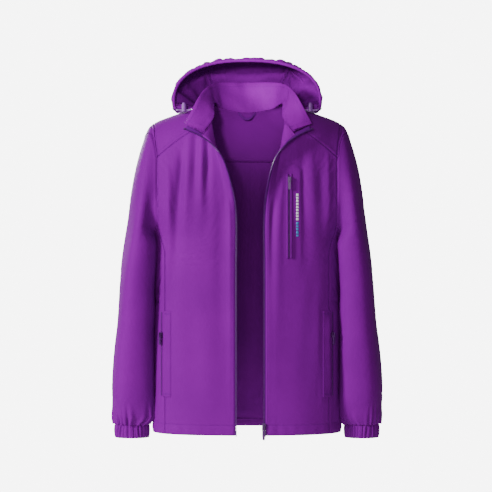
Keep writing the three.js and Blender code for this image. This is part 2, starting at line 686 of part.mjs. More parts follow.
function makeCordLock(side) {
  const at = V(side.sign * LOCK_AT.x, LOCK_AT.y, LOCK_AT.z);
  const half = LOCK_HEIGHT / 2;
  const inner = LOCK_RADIUS - LOCK_WALL;
  const profile = [[0, -half], [LOCK_RADIUS, -half], [LOCK_RADIUS, half], [inner, half],
    [inner, -half + LOCK_WALL], [0, -half + LOCK_WALL]];
  const cup = new THREE.LatheGeometry(profile.map(([r, z]) => new THREE.Vector2(r, z)), 16);
  cup.rotateX(Math.PI / 2);
  const bore = new THREE.CylinderGeometry(CORD_RADIUS + 0.6, CORD_RADIUS + 0.6, 4 * LOCK_RADIUS, 10);
  bore.rotateZ(Math.PI / 2);
  moved(bore, 0, 0, CORD_DROP);
  const body = fromSolid(toSolid(cup).subtract(toSolid(bore)));
  addMesh(`cord_lock_body_${side.name}`, moved(body, at.x, at.y, at.z), plastic);
  const foot = CORD_DROP + CORD_RADIUS + BUTTON_TRAVEL + 0.5;
  const crown = half + BUTTON_TRAVEL + 1;
  const button = [[0, foot], [inner - 2.2, foot], [inner - 2.2, half - 3], [inner - 0.4, half - 3],
    [inner - 0.4, crown - 0.8], [inner - 1.2, crown], [0, crown]];
  const plunger = new THREE.LatheGeometry(button.map(([r, z]) => new THREE.Vector2(r, z)), 16);
  plunger.rotateX(Math.PI / 2);
  addMesh(`cord_lock_button_${side.name}`, moved(plunger, at.x, at.y, at.z), plastic);
}

// ---- zips -----------------------------------------------------------------
// Edge of the collar's front end, from the neck seam to its corner.
function collarEnd(t, side) {
  return collarPoint(side.sign < 0 ? 0 : 1, t);
}

function collarInward(t, side) {
  const near = collarEnd(t, side);
  return collarPoint(side.sign < 0 ? 0.05 : 0.95, t).sub(near).normalize();
}

const LAPEL_PART = 0.9;             // share of the zip's length that lies below the collar

function zipPoint(across, t, side) {
  if (t <= LAPEL_PART) {
    return lapelPoint(across, t / LAPEL_PART, side);
  }
  const up = (t - LAPEL_PART) / (1 - LAPEL_PART);
  const start = lapelPoint(across, 1, side);
  const onCollar = collarEnd(up, side).addScaledVector(collarInward(up, side), across);
  return start.lerp(onCollar, smooth(up / 0.35));
}

const BOX_HEIGHT = 12;
const BOX_RISE = BOX_HEIGHT - 1.5;  // from the hem up to the top of the retainer box
const FIRST_SPAN = EDGE_KEYS[1][1] - HEM_Z;
const ZIP_FOOT = LAPEL_PART * (BOX_RISE + ZIP_GAP) / ((EDGE_KEYS.length - 1) * FIRST_SPAN);
const TEETH_STEPS = 52;

function makeMainZip(side) {
  const span = (t) => lerp(ZIP_FOOT, 0.985, t);
  const tape = (a, b) => zipPoint(TEETH_WIDTH + ZIP_GAP + a * TAPE_WIDTH, span(b), side);
  sheet(`zip_tape_${side.name}`, tape, 1, 26, 0.6, 1.4, trimCloth, side.sign);
  const teeth = (a, b) => {
    const bite = Math.round(b * TEETH_STEPS) % 2 === 0 ? 0 : 0.7;
    return zipPoint(lerp(bite, TEETH_WIDTH, a), span(b), side);
  };
  sheet(`zip_teeth_${side.name}`, teeth, 1, TEETH_STEPS,
    1 - TEETH_THICK / 2, 1 + TEETH_THICK / 2, plastic, side.sign);
  const stop = (a, b) => zipPoint(lerp(-0.4, TEETH_WIDTH, a), lerp(0.9862, 0.993, b), side);
  sheet(`zip_top_stop_${side.name}`, stop, 1, 1, -0.6, 2.6, metal, side.sign);
}

// A slider that wraps round a straight vertical row of teeth, with a bail on its face.
// The teeth lie at x from 0 to TEETH_WIDTH * open, centred on y = 0.
const SLIDER_HALF = 7;
const PLATE = 1.2;
const BAIL_REACH = 2.2;
const BAR = 1.2;

function sliderGeometry(open, half) {
  const inner = TEETH_THICK / 2 + SLIDER_GAP;
  const reach = TEETH_WIDTH + 1.6;
  const back = -SLIDER_GAP - 2;
  const outline = [[back, -inner - PLATE], [reach, -inner - PLATE], [reach, -inner], [-SLIDER_GAP, -inner],
    [-SLIDER_GAP, inner], [reach, inner], [reach, inner + PLATE], [back, inner + PLATE]];
  const shape = new THREE.Shape(outline.map(([x, y]) => new THREE.Vector2(open * x, y)));
  const channel = new THREE.ExtrudeGeometry(shape, { depth: 2 * half, bevelEnabled: false });
  channel.translate(0, 0, -half);
  const face = -inner - PLATE;
  return toSolid(channel).add(toSolid(bailGeometry(face, open * (back + reach) / 2)));
}

// The bail is an arch in Y and Z that stands on the slider's face.
function bailGeometry(face, middleX) {
  const reach = BAIL_REACH;
  const wide = 3.2;
  const outline = [[0.2, -wide - 1], [-reach - 1, -wide - 1], [-reach - 1, wide + 1], [0.2, wide + 1],
    [0.2, wide], [-reach, wide], [-reach, -wide], [0.2, -wide]];
  const shape = new THREE.Shape(outline.map(([y, z]) => new THREE.Vector2(y, z)));
  const arch = new THREE.ExtrudeGeometry(shape, { depth: 1.6, bevelEnabled: false });
  // local x, y, z of the extrusion become Y, Z and X
  arch.applyMatrix4(new THREE.Matrix4().makeBasis(V(0, 1, 0), V(0, 0, 1), V(1, 0, 0)));
  return moved(arch, middleX - 0.8, face, 0);
}

// The puller hangs from the bar at its upper end, which lies at the origin.
function pullerGeometry(length) {
  const outline = [[-2.6, BAR / 2], [2.6, BAR / 2], [2.6, -length + 2], [1.6, -length], [-1.6, -length],
    [-2.6, -length + 2]];
  const hole = [[-1.6, -BAR / 2], [-1.6, -6], [1.6, -6], [1.6, -BAR / 2]];
  return moved(plate(outline, BAR, hole), 0, BAR / 2, 0);
}

function placeSlider(name, pullerName, at, open, half, pullerLength) {
  const slider = fromSolid(sliderGeometry(open, half));
  addMesh(name, moved(slider, at.x, at.y, at.z), metal);
  const inner = TEETH_THICK / 2 + SLIDER_GAP;
  const middleX = open * (TEETH_WIDTH + 1.6 - SLIDER_GAP - 2) / 2;
  const barY = -inner - PLATE - BAIL_REACH / 2;
  const puller = pullerGeometry(pullerLength);
  addMesh(pullerName, moved(puller, at.x + middleX, at.y + barY, at.z), metal);
}

// Centre of the row of teeth at the hem, on its outer edge.
function teethAt(side, z) {
  const edge = bodyPoint(side.sign * side.edgeX, z, -1);
  return V(edge.x, edge.y + 1, z);
}

function makeZipFoot() {
  const foot = HEM_Z + BOX_RISE;
  const box = teethAt(LEFT, foot);
  const retainer = new THREE.BoxGeometry(7.4, 4.6, BOX_HEIGHT);
  addMesh("zip_retainer_box", moved(retainer, box.x + 1.6, box.y, foot - BOX_HEIGHT / 2 - 0.3), plastic);
  placeSlider("zip_slider", "zip_puller", teethAt(LEFT, foot + SLIDER_HALF), 1, SLIDER_HALF, 26);
  const pin = teethAt(RIGHT, foot);
  const rod = new THREE.BoxGeometry(2, 1.8, BOX_HEIGHT);
  addMesh("zip_insert_pin", moved(rod, pin.x - 1.6, pin.y, foot - BOX_HEIGHT / 2 - 0.3), plastic);
}

// ---- pockets --------------------------------------------------------------
function zipStrip(name, x, top, length, surfaceY, width, near, far, steps) {
  const surface = (a, b) => V(x + lerp(-width / 2, width / 2, a), surfaceY(a), lerp(top - length, top, b));
  sheet(name, surface, 1, steps, near, far, plastic, 1);
}

function makeHandPocket(side) {
  const sign = side.sign;
  const bottom = HAND_ZIP_TOP - HAND_ZIP_LENGTH;
  const onSide = (x, z) => bodyPoint(sign * x, z, -1);
  const halfCoil = 1.6 * Math.cos(facingTurn(sign * HAND_ZIP_X, bottom));
  const coil = (a, b) => onSide(HAND_ZIP_X + lerp(-halfCoil, halfCoil, a), lerp(bottom, HAND_ZIP_TOP, b));
  sheet(`hand_zip_coil_${side.name}`, coil, 1, 6, -2.2, -0.4, plastic, sign);
  const welt = (a, b) => {
    const proud = 1.6 * Math.sin(Math.PI * b);
    const point = onSide(lerp(HAND_ZIP_X - 19, HAND_ZIP_X - 3.4, a), lerp(bottom, HAND_ZIP_TOP, b));
    point.y -= proud * a;
    return point;
  };
  sheet(`hand_welt_${side.name}`, welt, 2, 5, -1.8, -0.4, outerCloth, sign);
  const bag = (a, b) => {
    const z = lerp(bottom - 40, HAND_ZIP_TOP + 6, b);
    return onSide(lerp(PRINCESS_X - 130, PRINCESS_X - 3, a), z);
  };
  sheet(`hand_pocket_bag_${side.name}`, bag, 4, 3, BAG_DEPTH, BAG_DEPTH + 1, innerCloth, sign);
}

function pocketSlider(name, pullerName, at, half, direction) {
  const cover = new THREE.BoxGeometry(6.4, 1.4, 2 * half);
  const cheeks = [-1, 1].map((s) => moved(new THREE.BoxGeometry(1, 3, 2 * half), s * 2.7, 1.9, 0));
  const lid = toSolid(cover).add(toSolid(cheeks[0])).add(toSolid(cheeks[1]));
  const bail = toSolid(bailGeometry(-0.7, 0));
  const slider = fromSolid(lid.add(bail));
  const turn = new THREE.Matrix4().makeRotationZ(direction);
  slider.applyMatrix4(turn);
  addMesh(name, moved(slider, at.x, at.y, at.z), metal);
  const puller = moved(pullerGeometry(20), 0, -0.7 - BAIL_REACH / 2, 0);
  puller.applyMatrix4(turn);
  addMesh(pullerName, moved(puller, at.x, at.y, at.z), metal);
}

// The way the cloth faces at x, as a turn about Z away from straight ahead.
function facingTurn(x, z) {
  const near = bodyPoint(x - 1, z, -1);
  const far = bodyPoint(x + 1, z, -1);
  return Math.atan2(far.y - near.y, far.x - near.x);
}

function makeHandSlider(side) {
  const z = HAND_ZIP_TOP - 46;
  const x = side.sign * HAND_ZIP_X;
  const turn = facingTurn(x, z);
  const cloth = bodyPoint(x, z, -1);
  const stand = 3.6;
  const at = cloth.add(V(Math.sin(turn) * stand, -Math.cos(turn) * stand, 0));
  pocketSlider(`hand_zip_slider_${side.name}`, `hand_zip_puller_${side.name}`, at, 5, turn);
}

function makeChestPocket() {
  const z = CHEST_ZIP_TOP - 8;
  const faceY = Math.min(bodyPoint(CHEST_ZIP_X, CHEST_ZIP_TOP, -1).y, bodyPoint(CHEST_ZIP_X, -200, -1).y);
  zipStrip("chest_zip_coil", CHEST_ZIP_X, CHEST_ZIP_TOP, CHEST_ZIP_LENGTH, () => faceY, 3.2, -2.4, -0.8, 8);
  pocketSlider("chest_zip_slider", "chest_zip_puller", V(CHEST_ZIP_X, faceY - 4, z), 5, 0);
  const bag = (a, b) => {
    const x = lerp(CHEST_ZIP_X - 6, CHEST_ZIP_X + 84, a);
    return bodyPoint(x, lerp(CHEST_ZIP_TOP - 190, CHEST_ZIP_TOP, b), -1);
  };
  sheet("chest_pocket_bag", bag, 3, 4, BAG_DEPTH, BAG_DEPTH + 1, innerCloth, 1);
}

// ---- hem, loop and label ----------------------------------------------------
function makeHemFacing() {
  const angleOf = (x) => Math.acos((x / BODY_HALF_WIDTH) ** (SECTION_POWER / 2));
  const startAngle = angleOf(RIGHT.edgeX + FACING_REACH);
  const endAngle = angleOf(LEFT.edgeX + FACING_REACH);
  const surface = (a, b) => {
    const angle = lerp(Math.PI + startAngle, -endAngle, a);
    const c = Math.cos(angle);
    const s = Math.sin(angle);
    const x = BODY_HALF_WIDTH * Math.sign(c) * Math.abs(c) ** (2 / SECTION_POWER);
    const y = BODY_HALF_DEPTH * Math.sign(s) * Math.abs(s) ** (2 / SECTION_POWER);
    return V(x, MID_Y + y, lerp(HEM_Z, HEM_Z + HEM_FACING_HEIGHT, b));
  };
  sheet("hem_facing", surface, 40, 1, FABRIC + 1.4, 2 * FABRIC + 1.2, innerCloth, -1);
}

function makeHangLoop() {
  const width = 36;
  const drop = 13;
  const points = [];
  for (let k = 0; k <= 10; k += 1) {
    const t = k / 10;
    const x = lerp(-width / 2, width / 2, t);
    points.push(V(x, -5.7 - 3 * Math.sin(Math.PI * t), -drop * Math.sin(Math.PI * t) - 1));
  }
  const curve = new THREE.CatmullRomCurve3(points);
  const surface = (a, b) => curve.getPoint(a).add(V(0, 0, lerp(-2.5, 2.5, b)));
  sheet("hang_loop", surface, 12, 1, 0, 1, trimCloth, 1);
}

for (const side of [RIGHT, LEFT]) {
  makeFront(side);
  makeSidePanel(side);
  makeShoulderYoke(side);
  makeSleeve(side);
  makeCuff(side);
  makeMainZip(side);
  makeHandPocket(side);
  makeHandSlider(side);
  makeCordLock(side);
}
makeBackPanel();
makeBackYoke();
makeCollar();
makeHood();
makeHoodHem();
makeDrawcord();
makeZipFoot();
makeChestPocket();
makeHemFacing();
makeHangLoop();

export default jacket;
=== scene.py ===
# Hooded shell jacket: the visual model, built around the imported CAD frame.
# Lengths are in millimetres until a mesh is made; +Z up, the front faces -Y.
import math
import bpy
import numpy as np
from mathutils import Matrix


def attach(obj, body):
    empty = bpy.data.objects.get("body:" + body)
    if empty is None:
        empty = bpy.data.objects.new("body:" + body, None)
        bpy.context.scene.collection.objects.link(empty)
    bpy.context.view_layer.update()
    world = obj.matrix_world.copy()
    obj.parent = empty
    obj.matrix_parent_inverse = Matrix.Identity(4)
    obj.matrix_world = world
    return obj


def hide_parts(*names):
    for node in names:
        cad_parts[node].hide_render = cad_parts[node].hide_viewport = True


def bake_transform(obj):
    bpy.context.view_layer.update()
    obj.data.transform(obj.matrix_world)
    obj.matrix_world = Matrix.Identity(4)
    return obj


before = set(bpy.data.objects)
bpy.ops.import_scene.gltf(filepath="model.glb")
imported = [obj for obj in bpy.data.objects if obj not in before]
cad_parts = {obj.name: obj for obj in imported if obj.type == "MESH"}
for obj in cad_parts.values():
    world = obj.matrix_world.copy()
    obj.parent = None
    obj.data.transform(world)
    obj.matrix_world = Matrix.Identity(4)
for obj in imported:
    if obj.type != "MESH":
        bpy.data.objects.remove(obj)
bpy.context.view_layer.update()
MM = 0.001
TAU = 2 * math.pi

# ---- sizes, the same as the CAD's --------------------------------------------
HEM_Z = -652.0
BODY_HALF_WIDTH = 190.0
CHEST_HALF_WIDTH = 226.0
BODY_HALF_DEPTH = 95.0
SECTION_POWER = 2.5
SHOULDER_ROUND = 120.0
RIDGE_TOP = 25.0
RIDGE_FALL = 0.0193
SHOULDER_POINT_X = 190.0
ARMHOLE_FRONT_X = 180.0
ARMHOLE_BOTTOM = -262.0
YOKE_SEAM_Z = -98.0
PRINCESS_X = 165.0
PRINCESS_TOP = -234.0
PRINCESS_STRAIGHT = -294.0
BREAK_Z = -214.0
EDGE_CLOTH = 8.1
LAPEL_SHARE = 2 / 9
ZIP_GAP = 0.35
HOOD_HEM_WIDTH = 16.0
CORD_RADIUS = 1.5
CUFF_TOP = -637.2
CUFF_HEIGHT = 28.0
HAND_ZIP_TOP = -408.0
HAND_ZIP_LENGTH = 168.0
HAND_ZIP_X = 171.0
CHEST_ZIP_TOP = -136.0
CHEST_ZIP_LENGTH = 162.0
CHEST_ZIP_X = 84.0
SIDES = {"right": {"sign": -1, "edge": 20.0, "neck": 71.0, "cover": 3.8},
         "left": {"sign": 1, "edge": 32.0, "neck": 76.0, "cover": 5.2}}
MID_Y = -BODY_HALF_DEPTH * math.sqrt(1 - (1 - RIDGE_TOP / SHOULDER_ROUND) ** 2)
THIN = 0.7                          # thickness of the cloth that shows
HEM_LINE = 20                       # the hem's stitches, above its lower edge
ROLL_REACH = 14.0                   # how far from the front edge folds fade out


# ---- small helpers -----------------------------------------------------------
def lerp(a, b, t):
    return a + (b - a) * t


def smooth(t):
    c = np.clip(t, 0, 1)
    return c * c * (3 - 2 * c)


def vec(x, y, z):
    return np.stack(np.broadcast_arrays(x, y, z), -1).astype(float)


def unit(v):
    return v / np.maximum(np.linalg.norm(v, axis=-1, keepdims=True), 1e-9)


def spline(keys, t):
    """Catmull-Rom through the keys, with the ends carried on, as the CAD's curves have."""
    keys = np.asarray(keys, float)
    keys = keys[:, None] if keys.ndim == 1 else keys
    last = len(keys) - 1
    place = np.clip(t, 0, 1) * last
    k = np.minimum(np.floor(place), last - 1).astype(int)
    w = (place - k)[..., None]
    ends = np.vstack([2 * keys[0] - keys[1], keys, 2 * keys[-1] - keys[-2]])
    p0, p1, p2, p3 = (ends[k + i] for i in range(4))
    t0 = (p2 - p0) / 2
    t1 = (p3 - p1) / 2
    return p1 + t0 * w + (-3 * p1 + 3 * p2 - 2 * t0 - t1) * w ** 2 + (2 * p1 - 2 * p2 + t0 + t1) * w ** 3


def waves(t, count, low, high, seed):
    """A repeatable mix of sines of t (in radians), with whole wave numbers from low to high."""
    rng = np.random.default_rng(seed)
    total = np.zeros_like(np.asarray(t, float))
    for _ in range(count):
        total = total + rng.uniform(0.5, 1) * np.sin(rng.integers(low, high + 1) * t + rng.uniform(0, TAU))
    return total / math.sqrt(count)


def drift(x, z, size, seed):
    """Soft, wide unevenness of a cloth, about -1 to 1, with features of the given size."""
    rng = np.random.default_rng(seed)
    total = np.zeros(np.broadcast(x, z).shape)
    for _ in range(7):
        angle = rng.uniform(0, TAU)
        pace = TAU / size * rng.uniform(0.6, 1.4)
        along_wave = x * math.cos(angle) + 0.45 * z * math.sin(angle)
        total = total + np.sin(pace * along_wave + rng.uniform(0, TAU))
    return total / 3.2


def grid_normals(points, wrap=False):
    if wrap:
        du = np.roll(points, -1, 1) - np.roll(points, 1, 1)
    else:
        du = np.gradient(points, axis=1)
    return unit(np.cross(du, np.gradient(points, axis=0)))


def along(points, axis):
    """How far each point lies along its row (axis 1) or column (axis 0)."""
    steps = np.linalg.norm(np.diff(points, axis=axis), axis=-1)
    zero = np.zeros_like(np.take(steps, [0], axis=axis))
    return np.concatenate([zero, np.cumsum(steps, axis=axis)], axis=axis)


def margins(points):
    """Each point's distance along its row, to the nearer side, up its column, and to the top."""
    row, up = along(points, 1), along(points, 0)
    return row, np.minimum(row, row[:, -1:] - row), up, up[-1:] - up


def dense(count, extra=(0.25, 0.8)):
    """0 to 1 in even steps, with more points close to both ends for the seams."""
    step = 1 / count
    ends = [e * step for e in extra]
    return np.array(sorted({*np.linspace(0, 1, count + 1), *ends, *(1 - e for e in ends)}))


# ---- the body's surface ------------------------------------------------------
def ridge_z(x):
    ax = np.abs(x)
    drop = np.maximum(0, ax - 176)
    return RIDGE_TOP - RIDGE_FALL * ax ** 1.5 - 0.013 * drop * drop


def half_width(z):
    return lerp(BODY_HALF_WIDTH, CHEST_HALF_WIDTH, smooth((z - ARMHOLE_BOTTOM) / 70))


def depth_at(x, z):
    share = np.minimum(1, np.abs(x) / half_width(z)) ** SECTION_POWER
    return BODY_HALF_DEPTH * (1 - share) ** (1 / SECTION_POWER)


def body_point(x, z, face):
    c = 1 - np.clip(ridge_z(x) - z, 0, SHOULDER_ROUND) / SHOULDER_ROUND
    return vec(x, MID_Y + face * depth_at(x, z) * np.sqrt(np.maximum(0, 1 - c * c)), z)


def princess_x(z):
    up = smooth((z - PRINCESS_STRAIGHT) / (PRINCESS_TOP - PRINCESS_STRAIGHT))
    return lerp(PRINCESS_X, ARMHOLE_FRONT_X, up)


def side_point(across, z, sign):
    angle = across * np.arccos(np.minimum(1, princess_x(z) / half_width(z)) ** (SECTION_POWER / 2))
    x = half_width(z) * np.cos(angle) ** (2 / SECTION_POWER)
    y = BODY_HALF_DEPTH * np.sign(angle) * np.abs(np.sin(angle)) ** (2 / SECTION_POWER)
    return vec(sign * x, MID_Y + y, z)


def side_top(across):
    return lerp(ARMHOLE_BOTTOM, PRINCESS_TOP, across * across)


ARMHOLE_TOP = float(ridge_z(SHOULDER_POINT_X))


def armhole_x(z):
    up = np.clip((z - YOKE_SEAM_Z) / (ARMHOLE_TOP - YOKE_SEAM_Z), 0, 1)
    return lerp(ARMHOLE_FRONT_X, SHOULDER_POINT_X, up)


def armhole_point(phi, sign):
    z = (ARMHOLE_TOP + ARMHOLE_BOTTOM) / 2 + (ARMHOLE_TOP - ARMHOLE_BOTTOM) / 2 * np.cos(phi)
    face = np.where(np.sin(phi) < 0, 1, -1)
    across = np.sqrt(np.clip((z - ARMHOLE_BOTTOM) / (PRINCESS_TOP - ARMHOLE_BOTTOM), 0, 1))
    low = side_point(face * across, z, sign)
    return np.where((z < PRINCESS_TOP)[..., None], low, body_point(sign * armhole_x(z), z, face))


# ---- front edge, lapel and neck seam -----------------------------------------
EDGE_KEYS = [[0, HEM_Z, 0], [0, -540, 0], [0, -430, 0], [0, -320, 0], [0, BREAK_Z, 2],
             [9, -158, 12], [28, -104, 22], [52, -76, 26], [72, -61, 24]]
ROLL_KEYS = [[25, HEM_Z], [25, -540], [25, -430], [25, -320], [24, BREAK_Z], [26, -162], [34, -112],
             [44, -66], [51, -26]]
OUTER_LEVELS = [HEM_Z, -540, -430, -320, PRINCESS_TOP - 10, -200, -165, -130, YOKE_SEAM_Z]


def side_shift(side, z):
    return lerp(side["edge"], side["neck"] - ROLL_KEYS[-1][0], smooth((z - BREAK_Z) / (-26 - BREAK_Z)))


def edge_point(b, side):
    key = spline(EDGE_KEYS, b)
    x = key[..., 0] + side_shift(side, key[..., 1])
    return body_point(side["sign"] * x, key[..., 1], -1) - vec(0, key[..., 2], 0)


def roll_point(b, side):
    key = spline(ROLL_KEYS, b)
    return body_point(side["sign"] * (key[..., 0] + side_shift(side, key[..., 1])), key[..., 1], -1)


def outer_level(b):
    return np.interp(b, np.linspace(0, 1, len(OUTER_LEVELS)), OUTER_LEVELS)


def outer_x(z):
    return np.where(z < PRINCESS_TOP, princess_x(z), armhole_x(z))


def lapel_point(across, b, side):
    start = edge_point(b, side)
    return start + unit(roll_point(b, side) - start) * np.asarray(across)[..., None]


def front_surface(side, a, b):
    width = np.linalg.norm(roll_point(b, side) - edge_point(b, side), axis=-1)
    lapel = lapel_point(lerp(side["cover"], width, np.minimum(1, a / LAPEL_SHARE)), b, side)
    key = spline(ROLL_KEYS, b)
    end_z = outer_level(b)
    s = np.clip((a - LAPEL_SHARE) / (1 - LAPEL_SHARE), 0, 1)
    x = lerp(key[..., 0] + side_shift(side, key[..., 1]), outer_x(end_z), s)
    z = lerp(key[..., 1], end_z, s) + 7 * np.sin(math.pi * s) * smooth((b - 0.6) / 0.4)
    body = body_point(side["sign"] * x, z, -1)
    return np.where((a <= LAPEL_SHARE)[..., None], lapel, body)


# ---- making meshes -----------------------------------------------------------
def mesh_object(name, verts, faces, material, uvs=None):
    mesh = bpy.data.meshes.new(name)
    mesh.from_pydata((np.asarray(verts) * MM).tolist(), [], faces)
    mesh.polygons.foreach_set("use_smooth", [True] * len(mesh.polygons))
    if uvs is not None:
        layer = mesh.uv_layers.new(name="cloth")
        corner = np.zeros(len(mesh.loops), int)
        mesh.loops.foreach_get("vertex_index", corner)
        layer.data.foreach_set("uv", (np.asarray(uvs)[corner] * MM).ravel())
    mesh.materials.append(material)
    mesh.update()
    obj = bpy.data.objects.new(name, mesh)
    bpy.context.scene.collection.objects.link(obj)
    return obj


def grid_faces(rows, cols, wrap, flip):
    faces = []
    for j in range(rows - 1):
        for i in range(cols if wrap else cols - 1):
            n = (i + 1) % cols
            quad = (j * cols + i, j * cols + n, (j + 1) * cols + n, (j + 1) * cols + i)
            faces.append(quad[::-1] if flip else quad)
    return faces


def sheet_object(name, points, material, side=1, wrap=False, thickness=THIN):
    """A cloth from a grid of points. side is +1 where the grid's own normals point out."""
    rows, cols = points.shape[:2]
    uvs = np.stack([along(points, 1), along(points, 0)], -1).reshape(-1, 2)
    obj = mesh_object(name, points.reshape(-1, 3), grid_faces(rows, cols, wrap, side < 0), material, uvs)
    if thickness:
        thick = obj.modifiers.new("thickness", "SOLIDIFY")
        thick.thickness = thickness * MM
        thick.offset = -1
    return obj


SIM_FRAMES = 16
KEPT_SAG = 0.25                     # of the wide sag; the rest would pull the pieces apart


def spread(values, rows, cols, wrap):
    """A wide moving average over a grid of values, used to tell sag from wrinkles."""
    for axis, reach in ((0, rows), (1, cols)):
        mode = "wrap" if wrap and axis == 1 else "edge"
        pads = [(reach, reach) if k == axis else (0, 0) for k in range(2)]
        total = np.cumsum(np.pad(values, pads, mode=mode), axis=axis)
        total = np.concatenate([np.zeros_like(np.take(total, [0], axis=axis)), total], axis=axis)
        size = 2 * reach + 1
        last = np.arange(size, size + values.shape[axis])
        values = (np.take(total, last, axis=axis) - np.take(total, last - size, axis=axis)) / size
    return values


def settle(points, pinned, excess=0.012, cap=5.0, wrap=False):
    """Lets a slightly oversize cloth hang from its pinned points, and returns where it lies."""
    rows, cols = points.shape[:2]
    obj = mesh_object("settling", points.reshape(-1, 3), grid_faces(rows, cols, wrap, False), PLAIN)
    pins = obj.vertex_groups.new(name="pins")
    weights = pinned.ravel()
    for level in np.unique(np.round(weights, 1)):
        chosen = np.nonzero(np.round(weights, 1) == level)[0]
        if level > 0:
            pins.add(chosen.tolist(), float(level), "REPLACE")
    cloth = obj.modifiers.new("cloth", "CLOTH")
    cloth.settings.vertex_group_mass = "pins"
    cloth.settings.quality = 5
    cloth.settings.mass = 0.05
    cloth.settings.tension_stiffness = 12
    cloth.settings.compression_stiffness = 8
    cloth.settings.shear_stiffness = 4
    cloth.settings.bending_stiffness = 0.35
    cloth.settings.shrink_min = -excess
    cloth.collision_settings.use_collision = False
    cloth.point_cache.frame_start = 1
    cloth.point_cache.frame_end = SIM_FRAMES
    scene = bpy.context.scene
    for number in range(1, SIM_FRAMES + 1):
        scene.frame_set(number)
    hung = obj.evaluated_get(bpy.context.evaluated_depsgraph_get()).data
    found = np.zeros(len(hung.vertices) * 3)
    hung.vertices.foreach_get("co", found)
    scene.frame_set(1)
    bpy.data.objects.remove(obj)
    move = found.reshape(points.shape) / MM - points
    out = grid_normals(points, wrap)
    sag = spread(spread(np.sum(move * out, -1), 9, 7, wrap), 9, 7, wrap)
    move -= out * ((1 - KEPT_SAG) * sag)[..., None]
    length = np.linalg.norm(move, axis=-1, keepdims=True)
    move *= np.minimum(1, cap / np.maximum(length, 1e-6))
    return points + move * (1 - pinned[..., None])


def border_pins(points, reach=10.0):
    """1 at a sheet's borders, falling to 0 at "reach" from them."""
    _, to_side, up, to_top = margins(points)
    return 1 - smooth(np.minimum(to_side, np.minimum(up, to_top)) / reach)


def seam_profile(distance):
    """The height of the cloth beside a seam: sunk at the seam, raised over its allowance."""
    return -1.0 * np.exp(-(distance / 1.3) ** 2) + 0.4 * np.exp(-((distance - 4.0) / 2.2) ** 2)


def prism_faces(rings):
    """A closed four-sided bar, given as rings of four points."""
    sides = [(4 * r + k, 4 * r + (k + 1) % 4, 4 * r + 4 + (k + 1) % 4, 4 * r + 4 + k)
             for r in range(rings - 1) for k in range(4)]
    return sides + [(3, 2, 1, 0), tuple(range(4 * rings - 4, 4 * rings))]


class Stitches:
    """Rows of stitches, collected to make one piece for each body."""

    def __init__(self, name, material):
        self.name = name
        self.material = material
        self.verts = []
        self.faces = []

    def row(self, points, normals, pitch=3.4, length=2.3, radius=0.24, lift=0.12):
        points = np.asarray(points)
        at = along(points[None], 1)[0]
        if at[-1] < 2 * pitch:
            return
        where = np.arange(pitch / 2, at[-1] - pitch / 2, pitch)
        centre = np.stack([np.interp(where, at, points[:, k]) for k in range(3)], -1)
        ahead = np.stack([np.interp(where + 0.5, at, points[:, k]) for k in range(3)], -1)
        normal = unit(np.stack([np.interp(where, at, normals[:, k]) for k in range(3)], -1))
        way = unit(ahead - centre)
        cross = unit(np.cross(normal, way))
        centre = centre + normal * lift
        ring = []
        for place, width in ((-0.5, 0.35), (-0.36, 1), (0.36, 1), (0.5, 0.35)):
            for k in range(4):
                turn = TAU * (k + 0.5) / 4
                off = (cross * math.cos(turn) + normal * math.sin(turn)) * radius * width
                ring.append(centre + way * length * place + off)
        block = np.stack(ring, 1)
        base = sum(len(v) for v in self.verts)
        self.verts.append(block.reshape(-1, 3))
        for n in range(len(centre)):
            self.faces.extend(tuple(base + 16 * n + c for c in face) for face in prism_faces(4))

    def make(self):
        return mesh_object(self.name, np.concatenate(self.verts), self.faces, self.material)


# ---- materials ---------------------------------------------------------------
class Nodes:
    """A short way to write a material's nodes."""

    def __init__(self, name):
        self.material = bpy.data.materials.new(name)
        self.material.use_nodes = True
        self.tree = self.material.node_tree
        self.shader = self.tree.nodes["Principled BSDF"]

    def add(self, kind, values=None, **settings):
        node = self.tree.nodes.new(kind)
        for key, value in settings.items():
            setattr(node, key, value)
        for key, value in (values or {}).items():
            node.inputs[key].default_value = value
        return node

    def link(self, source, target):
        self.tree.links.new(source, target)

    def place(self, uv):
        if uv:
            return self.add("ShaderNodeUVMap", uv_map="cloth").outputs["UV"]
        return self.add("ShaderNodeTexCoord").outputs["Object"]

    def mix(self, first, second, share):
        """Two colours, mixed by a socket."""
        node = self.add("ShaderNodeMix", data_type="RGBA")
        for socket, value in ((node.inputs[6], first), (node.inputs[7], second)):
            if isinstance(value, tuple):
                socket.default_value = (*value, 1)
            else:
                self.link(value, socket)
        self.link(share, node.inputs[0])
        return node.outputs[2]

    def ramp(self, source, low, high, bottom=0.0, top=1.0):
        node = self.add("ShaderNodeMapRange", {1: low, 2: high, 3: bottom, 4: top})
        self.link(source, node.inputs[0])
        return node.outputs[0]

    def noise(self, place, scale, detail=3.0, roughness=0.55):
        node = self.add("ShaderNodeTexNoise", {"Scale": scale, "Detail": detail, "Roughness": roughness})
        self.link(place, node.inputs["Vector"])
        return node.outputs["Fac"]

    def bands(self, place, scale, direction, warp=0.6):
        values = {"Scale": scale, "Distortion": warp, "Detail": 1.0, "Detail Scale": 2.0}
        node = self.add("ShaderNodeTexWave", values, bands_direction=direction)
        self.link(place, node.inputs["Vector"])
        return node.outputs["Fac"]

    def bump(self, height, strength, distance, below=None):
        node = self.add("ShaderNodeBump", {"Strength": strength, "Distance": distance})
        self.link(height, node.inputs["Height"])
        if below is not None:
            self.link(below, node.inputs["Normal"])
        return node.outputs["Normal"]

    def finish(self, colour, roughness, normal, **fixed):
        self.link(colour, self.shader.inputs["Base Color"])
        self.link(roughness, self.shader.inputs["Roughness"])
        self.link(normal, self.shader.inputs["Normal"])
        for key, value in fixed.items():
            self.shader.inputs[key.replace("_", " ")].default_value = value
        return self.material


